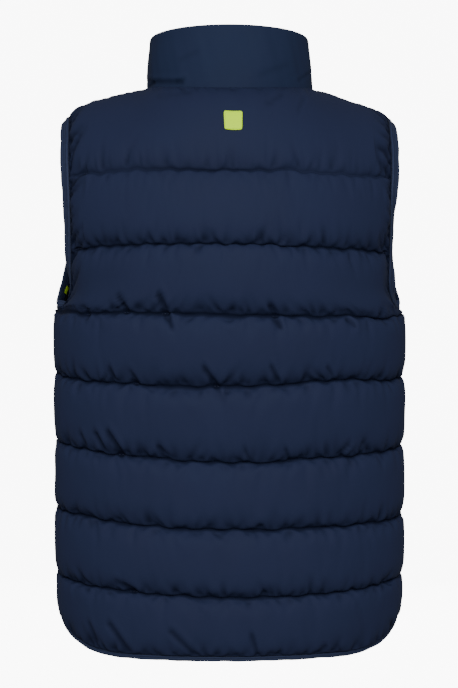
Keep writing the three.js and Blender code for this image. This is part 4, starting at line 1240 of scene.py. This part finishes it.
def zip_line():
    """The zip's line on the centre front in Y and Z, from the hem up over the collar."""
    place = fine_rows()[::-1]
    panel = lining_point(False, np.zeros_like(place), place)[:, 1:]
    low = panel[:1] + (0, -7)
    height = np.array([0.12, 0.35, 0.6, 0.8, 0.97])
    angle = np.full(5, float(neckline_angle(False, np.array(0.0))))
    top = collar_point(angle, height, np.full(5, float(SEAM_THICKNESS)))[:, 1:]
    line = np.concatenate([low, panel, top])
    run = run_of(line)
    keep = np.concatenate([[True], np.diff(run) > 1e-6])
    line, run = line[keep], run[keep]
    at = np.arange(0, run[-1], TOOTH_PITCH / 2)
    even = np.stack([np.interp(at, run, line[:, k]) for k in range(2)], axis=-1)
    for _ in range(6):
        even[1:-1] = (even[:-2] + 2 * even[1:-1] + even[2:]) / 4
    along = unit(np.gradient(even, axis=0))
    front = np.stack([-along[:, 1], along[:, 0]], axis=-1)
    return even, along, front, at


def extrude_x(outline_front, outline_rear, x0, x1):
    """A strip between two lines in Y and Z, drawn out across X."""
    at = lambda line, x: np.concatenate([np.full((len(line), 1), x), line], axis=1)
    corners = ((outline_front, x0), (outline_front, x1), (outline_rear, x1), (outline_rear, x0))
    return np.stack([at(line, x) for line, x in corners], axis=1)


class VEST_OT_zip(bpy.types.Operator):
    """Make the centre front zip: tapes, teeth, slider and pull"""
    bl_idname = "vest.zip"
    bl_label = "Zip"

    def execute(self, context):
        look = context.scene.quilted_vest
        line, along, front, at = zip_line()
        tape_material = woven("navy zip tape", look.zip_colour, 0.6, pitch=0.0009)
        tooth_material = plastic("navy zip teeth", look.zip_colour, 0.42)
        metal = lacquered("dark zip metal", look.metal_colour)
        for name, side in (("left", 1), ("right", -1)):
            near = line + front * (TAPE_DEPTH + TAPE_THICKNESS / 2)
            far = line + front * (TAPE_DEPTH - TAPE_THICKNESS / 2)
            points, faces = swept(extrude_x(near, far, side * TAPE_INNER, side * TAPE_OUTER), False)
            cut = np.stack([points[:, 0], np.repeat(at, 4)], axis=-1) / 1000
            piece = make_piece(context, f"zip_tape_{name}_cloth", points, facing_out(points, faces),
                               [tape_material], replaces=(f"zip_tape_{name}",), cut=cut)
            piece.data.polygons.foreach_set("use_smooth", np.zeros(len(piece.data.polygons), bool))
        slider_z = float(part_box("zip_slider")[0][2]) * 1000 + 1.0
        self.teeth(context, line, along, front, at, slider_z, tooth_material)
        for node in ("zip_slider", "zip_pull"):
            worn = bpy.data.objects[node]
            for slot in worn.material_slots:
                slot.link = "OBJECT"
                slot.material = metal
        return {"FINISHED"}

    @staticmethod
    def teeth(context, line, along, front, at, top_z, material):
        """Moulded teeth, hooked together up to the slider."""
        outline = (
            (-0.6, 0.55), (3.1, 0.62), (3.4, 0.85), (3.4, -0.85), (3.1, -0.62), (-0.6, -0.55), (-0.95, 0.0),
        )
        points, faces = [], []
        for i in range(2, len(at) - 2):
            side = 1 if i % 2 else -1
            y, z = line[i]
            if z > top_z:
                break
            for depth, shrink in ((TAPE_DEPTH - 1.15, 0.86), (TAPE_DEPTH - 0.8, 1.0), (TAPE_DEPTH + 0.9, 1.0),
                                  (TAPE_DEPTH + 1.25, 0.8)):
                for x, up in outline:
                    spot = line[i] + along[i] * up * shrink * 1.25 + front[i] * depth
                    points.append((side * (0.75 + (x - 0.9) * shrink), spot[0], spot[1]))
            start, n = len(points) - 4 * len(outline), len(outline)
            for level in range(3):
                for k in range(n):
                    a, b = start + level * n + k, start + level * n + (k + 1) % n
                    faces.append((a, b, b + n, a + n))
            faces.append(tuple(start + k for k in range(n))[::-1])
            faces.append(tuple(start + 3 * n + k for k in range(n)))
            if side < 0:
                faces[-(3 * n + 2):] = [tuple(reversed(f)) for f in faces[-(3 * n + 2):]]
        points = np.array(points)
        chain = make_piece(context, "zip_teeth", points, facing_out(points, faces), [material],
                           replaces=("zip_chain",))
        chain.data.polygons.foreach_set("use_smooth", np.zeros(len(faces), bool))


# The neck patch and the inner tab.
PATCH_WIDTH = 21.5
PATCH_X = -0.7
PATCH_HEIGHT = 25
PATCH_Z = -53
TAB_WIDTH = 4.8
TAB_HEIGHT = 11
TAB_THICKNESS = 0.8
TAB_OUTWARD = 4.7


def shell_point(spot, quilted, lift):
    """A point over the back's shell."""
    place, across = shifted(True, spot, quilted), np.abs(spot)
    out = SEAM_THICKNESS + puff(True, across, place, quilted) + lift
    point = lining_point(True, across, place) + wall_normal(True, across, place) * out[..., None]
    return point * mirrored(spot)


class VEST_OT_patches(bpy.types.Operator):
    """Sew on the bare lime patch at the neck and the small tab inside the left armhole"""
    bl_idname = "vest.patches"
    bl_label = "Patches"

    def execute(self, context):
        look = context.scene.quilted_vest
        # Painted light: the patch glows faintly though it is no lamp, so it looks brighter than the lights
        # alone make it.
        lime = woven("lime woven patch", look.patch_colour, 0.55, pitch=0.0005, specular=0.2, painted_glow=0.2)
        zero = np.array([0.0])
        place = 0.3
        for _ in range(40):
            place += (shell_point(zero, np.array([place]), zero)[0, 2] - PATCH_Z) * 0.004
        centre = shell_point(zero, np.array([place]), zero)[0]
        per_place = np.linalg.norm(shell_point(zero, np.array([place + 0.01]), zero)[0] - centre) / 0.01
        per_across = np.linalg.norm(shell_point(zero + 0.02, np.array([place]), zero)[0] - centre) / 0.02
        rings, around = 11, 72
        angle = 2 * np.pi * np.arange(around) / around
        c, s = np.cos(angle), np.sin(angle)
        reach = (np.abs(c) ** 11 + np.abs(s) ** 11) ** (-1 / 11)
        steps = [r / (rings - 1) for r in range(1, rings)]
        profile = [(t * 0.93, 1.05 + 0.25 * (1 - t**4)) for t in steps]
        profile += [(0.972, 0.95), (0.995, 0.7), (1.0, 0.4), (0.99, 0.1)]
        layers = []
        for share, lift in profile:
            down = share * reach * s * PATCH_HEIGHT / 2
            over = share * reach * c * PATCH_WIDTH / 2
            spot, level = (over + PATCH_X) / per_across, place + down / per_place
            layers.append(shell_point(spot, level, np.full(around, lift + 0.2)))
        aside = zero + PATCH_X / per_across
        middle = shell_point(aside, np.array([place]), np.array([1.5]))
        under = shell_point(aside, np.array([place]), np.array([0.3]))
        points = np.concatenate([*layers, middle, under])
        faces = []
        for level in range(len(layers) - 1):
            for k in range(around):
                a, b = level * around + k, level * around + (k + 1) % around
                faces.append((a, a + around, b + around, b))
        last = (len(layers) - 1) * around
        for k in range(around):
            faces.append((len(points) - 2, k, (k + 1) % around))
            faces.append((len(points) - 1, last + (k + 1) % around, last + k))
        cut = points[:, (0, 2)] / 1000
        patch = make_piece(context, "neck_patch_cloth", points, facing_out(points, faces), [lime],
                           replaces=("neck_patch",), cut=cut)
        # Painted shade: the tab is the patch's lime darkened, as it sits in shadow inside the armhole.
        shaded = woven("lime woven tab", shade(look.patch_colour, 0.55), 0.6, pitch=0.0005, specular=0.2)
        self.inner_tab(context, shaded)
        return {"FINISHED"}

    @staticmethod
    def inner_tab(context, material):
        """A small folded tab under the front edge of the left armhole, just above the underarm."""
        one, place = np.array(1.0), 2.47
        normal = wall_normal(False, one, np.array(place))
        along = unit(lining_point(False, one, np.array(place + SMALL_STEP))
                     - lining_point(False, one, np.array(place - SMALL_STEP)))
        out = np.cross(normal, along)
        middle = lining_point(False, one, np.array(place)) + out * TAB_OUTWARD - normal * 1.15
        stations = []
        for step in np.linspace(-1, 1, 13):
            pinch = 1 - 0.35 * max(0, abs(step) - 0.85) / 0.15
            centre = middle + along * step * TAB_HEIGHT / 2 + normal * 0.25 * math.sin(2.2 * step + 0.4)
            loop = []
            for turn in np.linspace(0, 2 * np.pi, 16, endpoint=False):
                c, s = math.cos(turn), math.sin(turn)
                wide = math.copysign(abs(c) ** 0.35, c) * TAB_WIDTH / 2
                deep = math.copysign(abs(s) ** 0.6, s) * TAB_THICKNESS / 2 * pinch
                loop.append(centre + out * wide + normal * deep)
            stations.append(loop)
        points, faces = swept(stations, False)
        cut = np.stack([points @ out, points @ along], axis=-1) / 1000
        tab = make_piece(context, "inner_tab_cloth", points, facing_out(points, faces), [material],
                         replaces=("inner_tab",), cut=cut)


def capsule(a, b, face, radius):
    """One stitch: a thin rounded bar from a to b that lies on the cloth."""
    along = unit(b - a)
    side = np.cross(along, face)
    points = [a - along * radius * 0.4]
    for t, r in ((0.06, 0.75), (0.3, 1.0), (0.7, 1.0), (0.94, 0.75)):
        middle = a + (b - a) * t + face * radius * (0.55 - 1.6 * (t - 0.5) ** 2)
        for k in range(5):
            turn = 2 * math.pi * k / 5
            points.append(middle + (side * math.cos(turn) + face * math.sin(turn)) * radius * r)
    points.append(b + along * radius * 0.4)
    return points


AFTER = (1, 2, 3, 4, 0)
CAPSULE_FACES = (
    [(0, 1 + AFTER[k], 1 + k) for k in range(5)]
    + [(i + k, i + AFTER[k], i + 5 + AFTER[k], i + 5 + k) for i in (1, 6, 11) for k in range(5)]
    + [(21, 16 + k, 16 + AFTER[k]) for k in range(5)]
)


def stitch_run(points, normals, length, gap=0.7, radius=0.28):
    """Stitches along a line on the cloth."""
    run = run_of(points)
    pick = lambda v, s: np.array([np.interp(s, run, v[:, k]) for k in range(3)])
    made, faces = [], []
    s = gap
    while s + length < run[-1]:
        a, b = pick(points, s), pick(points, s + length)
        face = unit(pick(normals, s + length / 2))
        faces += [tuple(len(made) + i for i in f) for f in CAPSULE_FACES]
        made += capsule(a, b, face, radius)
        s += length + gap
    return made, faces


def sewn(context, name, runs, cotton):
    """One piece from the stitches of several runs."""
    made, faces = [], []
    for points, links in runs:
        faces += [tuple(len(made) + i for i in face) for face in links]
        made += points
    make_piece(context, name, np.array(made), faces, [cotton])


def laid_on(context, name, points, normals, lift=0.1):
    """Points brought down on to the named piece along their normals."""
    piece = bpy.data.objects[name]
    tree = BVHTree.FromObject(piece, context.evaluated_depsgraph_get())
    found = []
    for point, normal in zip(points, normals):
        start, down = Vector(point + normal * 25) / 1000, Vector(-normal)
        hit = tree.ray_cast(start, down, 0.045)[0]
        found.append(point if hit is None else np.array(hit) * 1000 + normal * lift)
    return np.array(found)


class VEST_OT_stitching(bpy.types.Operator):
    """Stitch the quilting seams, the bindings, the zip and the patch"""
    bl_idname = "vest.stitching"
    bl_label = "Stitching"

    def execute(self, context):
        look = context.scene.quilted_vest
        length = look.stitch_length * 1000
        cotton = thread("navy thread", look.shell_colour)
        runs = []
        fine = np.linspace(0, 1, 400)
        for seam in range(1, HEM):
            for back, spots in ((True, fine * 2 - 1), (False, fine), (False, -fine)):
                place = shifted(back, spots, np.full_like(fine, float(seam)))
                flip = mirrored(spots)
                normal = wall_normal(back, np.abs(spots), place) * flip
                line = lining_point(back, np.abs(spots), place) * flip
                lift = SEAM_THICKNESS - SEAM_DIP + 0.25 + first_seam_fill(spots, float(seam))
                runs.append((line + normal * lift[:, None], normal))
        sewn(context, "quilting_stitches", [stitch_run(p, n, length) for p, n in runs], cotton)
        runs = []
        for line, closed, width, gap, side in (
            (even_line(*armhole_line(1), 2.2, True), True, ARMHOLE_BINDING_WIDTH, ARMHOLE_BINDING_GAP, 1),
            (even_line(*armhole_line(-1), 2.2, True), True, ARMHOLE_BINDING_WIDTH, ARMHOLE_BINDING_GAP, -1),
            (even_line(*hem_line(), 2.2, False), False, HEM_BINDING_WIDTH, HEM_BINDING_GAP, 1),
        ):
            points, normals, turn, at = line
            along, out, face, plain_out = turned_frame(points, normals, turn, closed)
            p = points + plain_out * gap + out * width * 0.07 + face * BINDING_THICKNESS * 0.77
            if closed:
                p, face = np.concatenate([p, p[:1]]), np.concatenate([face, face[:1]])
            flip = (side, 1, 1)
            runs.append(stitch_run(p * flip, face * flip, length * 0.8, radius=0.24))
        sewn(context, "binding_stitches", runs, cotton)
        self.zip_stitches(context, cotton, length)
        self.patch_stitches(context, thread("lime thread", shade(look.patch_colour, 0.8)), length)
        return {"FINISHED"}

    @staticmethod
    def zip_stitches(context, cotton, length):
        """A row down each front beside the zip."""
        runs = []
        quilted = np.linspace(0.06, HEM - 0.03, 300)
        across = np.full_like(quilted, 0.013)
        for side in (1, -1):
            normal = wall_normal(False, across, quilted) * (side, 1, 1)
            line = lining_point(False, across, quilted) * (side, 1, 1)
            name = "front_left_cloth" if side > 0 else "front_right_cloth"
            runs.append(stitch_run(laid_on(context, name, line, normal), normal, length))
        sewn(context, "zip_stitches", runs, cotton)

    @staticmethod
    def patch_stitches(context, cotton, length):
        """A row round the patch, just inside its edge."""
        patch = bpy.data.objects["neck_patch_cloth"]
        points, _ = mesh_points(patch.data)
        middle = (points.min(0) + points.max(0)) / 2
        turn = np.linspace(0, 2 * np.pi, 200)
        c, s = np.cos(turn), np.sin(turn)
        reach = 0.86 * (np.abs(c) ** 11 + np.abs(s) ** 11) ** (-1 / 11)
        x, z = reach * c * PATCH_WIDTH / 2, reach * s * (points[:, 2].max() - points[:, 2].min()) / 2
        line = np.stack([middle[0] + x, np.full_like(x, middle[1]), middle[2] + z], axis=-1)
        face = np.tile([0.0, 1.0, 0.0], (len(line), 1))
        line = laid_on(context, patch.name, line, face, 0.05)
        sewn(context, "patch_stitches", [stitch_run(line, face, length * 0.6, 0.5, 0.2)], cotton)


class VEST_OT_stage(bpy.types.Operator):
    """Set up the backdrop, the light and the camera"""
    bl_idname = "vest.stage"
    bl_label = "Stage"

    def execute(self, context):
        stage = context.scene.vest_stage
        scene = context.scene
        data = bpy.data.cameras.new("photo camera")
        data.sensor_width = 36
        data.lens = 36 * CAMERA_DISTANCE * PIXELS_PER_METRE / IMAGE_SIZE[1]
        data.shift_y = (HORIZON_ROW - IMAGE_SIZE[1] / 2) / IMAGE_SIZE[1]
        camera = bpy.data.objects.new("photo camera", data)
        camera.location = (
            CAMERA_DISTANCE * math.sin(CAMERA_TURN), CAMERA_DISTANCE * math.cos(CAMERA_TURN), CAMERA_HEIGHT)
        camera.rotation_euler = (math.pi / 2, 0, math.pi - CAMERA_TURN)
        scene.collection.objects.link(camera)
        scene.camera = camera
        self.backdrop(context, stage.backdrop_level)
        lights = (
            ("key light", stage.key_power, 2.0, (0.15, 3.2, 1.1)),
            ("left light", stage.side_power, 1.2, (2.6, 1.4, 0.2)),
            ("right light", stage.side_power, 1.2, (-2.6, 1.4, 0.2)),
            ("front light", stage.key_power * 0.8, 1.4, (-0.2, -3.2, -0.3)),
        )
        for name, power, size, place in lights:
            lamp = bpy.data.lights.new(name, "AREA")
            lamp.energy, lamp.size = power, size
            lit = bpy.data.objects.new(name, lamp)
            lit.location = place
            lit.rotation_euler = (Vector((0, 0, -0.3)) - Vector(place)).to_track_quat("-Z", "Y").to_euler()
            scene.collection.objects.link(lit)
        world = bpy.data.worlds.new("studio")
        world.use_nodes = True
        world.node_tree.nodes["Background"].inputs["Color"].default_value = (1, 1, 1, 1)
        world.node_tree.nodes["Background"].inputs["Strength"].default_value = stage.sky_strength
        scene.world = world
        return {"FINISHED"}

    @staticmethod
    def backdrop(context, level):
        """A pale floor that sweeps up into a backdrop on every side."""
        profile = [
            (0.001, -1.25), (2.6, -1.25), (3.0, -1.22), (3.35, -1.1), (3.6, -0.85), (3.7, -0.5), (3.7, 3.2),
        ]
        around = 96
        points, faces = [], []
        for radius, z in profile:
            for k in range(around):
                turn = 2 * math.pi * k / around
                points.append((radius * math.cos(turn), radius * math.sin(turn), z))
        for level_index in range(len(profile) - 1):
            for k in range(around):
                a, b = level_index * around + k, level_index * around + (k + 1) % around
                faces.append((a, b, b + around, a + around))
        mesh = bpy.data.meshes.new("pale sweep")
        mesh.from_pydata(points, [], faces)
        mesh.polygons.foreach_set("use_smooth", np.ones(len(faces), bool))
        shader = Shader("pale paper", {
            "Base Color": (0.3, 0.3, 0.3, 1), "Roughness": 0.9, "Specular IOR Level": 0.0,
            "Emission Color": (1, 1, 1, 1), "Emission Strength": level,
        })
        mesh.materials.append(shader.material)
        sweep = bpy.data.objects.new("pale_sweep", mesh)
        sweep.visible_diffuse = sweep.visible_glossy = sweep.visible_shadow = False
        context.scene.collection.objects.link(sweep)


OPERATORS = (
    VEST_OT_stage, VEST_OT_panels, VEST_OT_collar, VEST_OT_bindings, VEST_OT_zip, VEST_OT_patches,
    VEST_OT_stitching,
)


class VEST_PT_sidebar(bpy.types.Panel):
    """The vest's pieces, in the order they are made"""
    bl_label = "Quilted Vest"
    bl_idname = "VEST_PT_sidebar"
    bl_space_type = "VIEW_3D"
    bl_region_type = "UI"
    bl_category = "Vest"

    def draw(self, context):
        for operator in OPERATORS:
            self.layout.operator(operator.bl_idname)
        for group in (context.scene.quilted_vest, context.scene.vest_stage):
            for name in group.bl_rna.properties.keys():
                if name not in ("rna_type", "name"):
                    self.layout.prop(group, name)


CLASSES = (QuiltedVestLook, VestStage, *OPERATORS, VEST_PT_sidebar)


def register():
    for kind in CLASSES:
        bpy.utils.register_class(kind)
    bpy.types.Scene.quilted_vest = bpy.props.PointerProperty(type=QuiltedVestLook)
    bpy.types.Scene.vest_stage = bpy.props.PointerProperty(type=VestStage)


def unregister():
    del bpy.types.Scene.vest_stage
    del bpy.types.Scene.quilted_vest
    for kind in reversed(CLASSES):
        bpy.utils.unregister_class(kind)


def main():
    register()
    for operator in OPERATORS:
        group, name = operator.bl_idname.split(".")
        getattr(getattr(bpy.ops, group), name)()


if __name__ == "__main__":
    main()
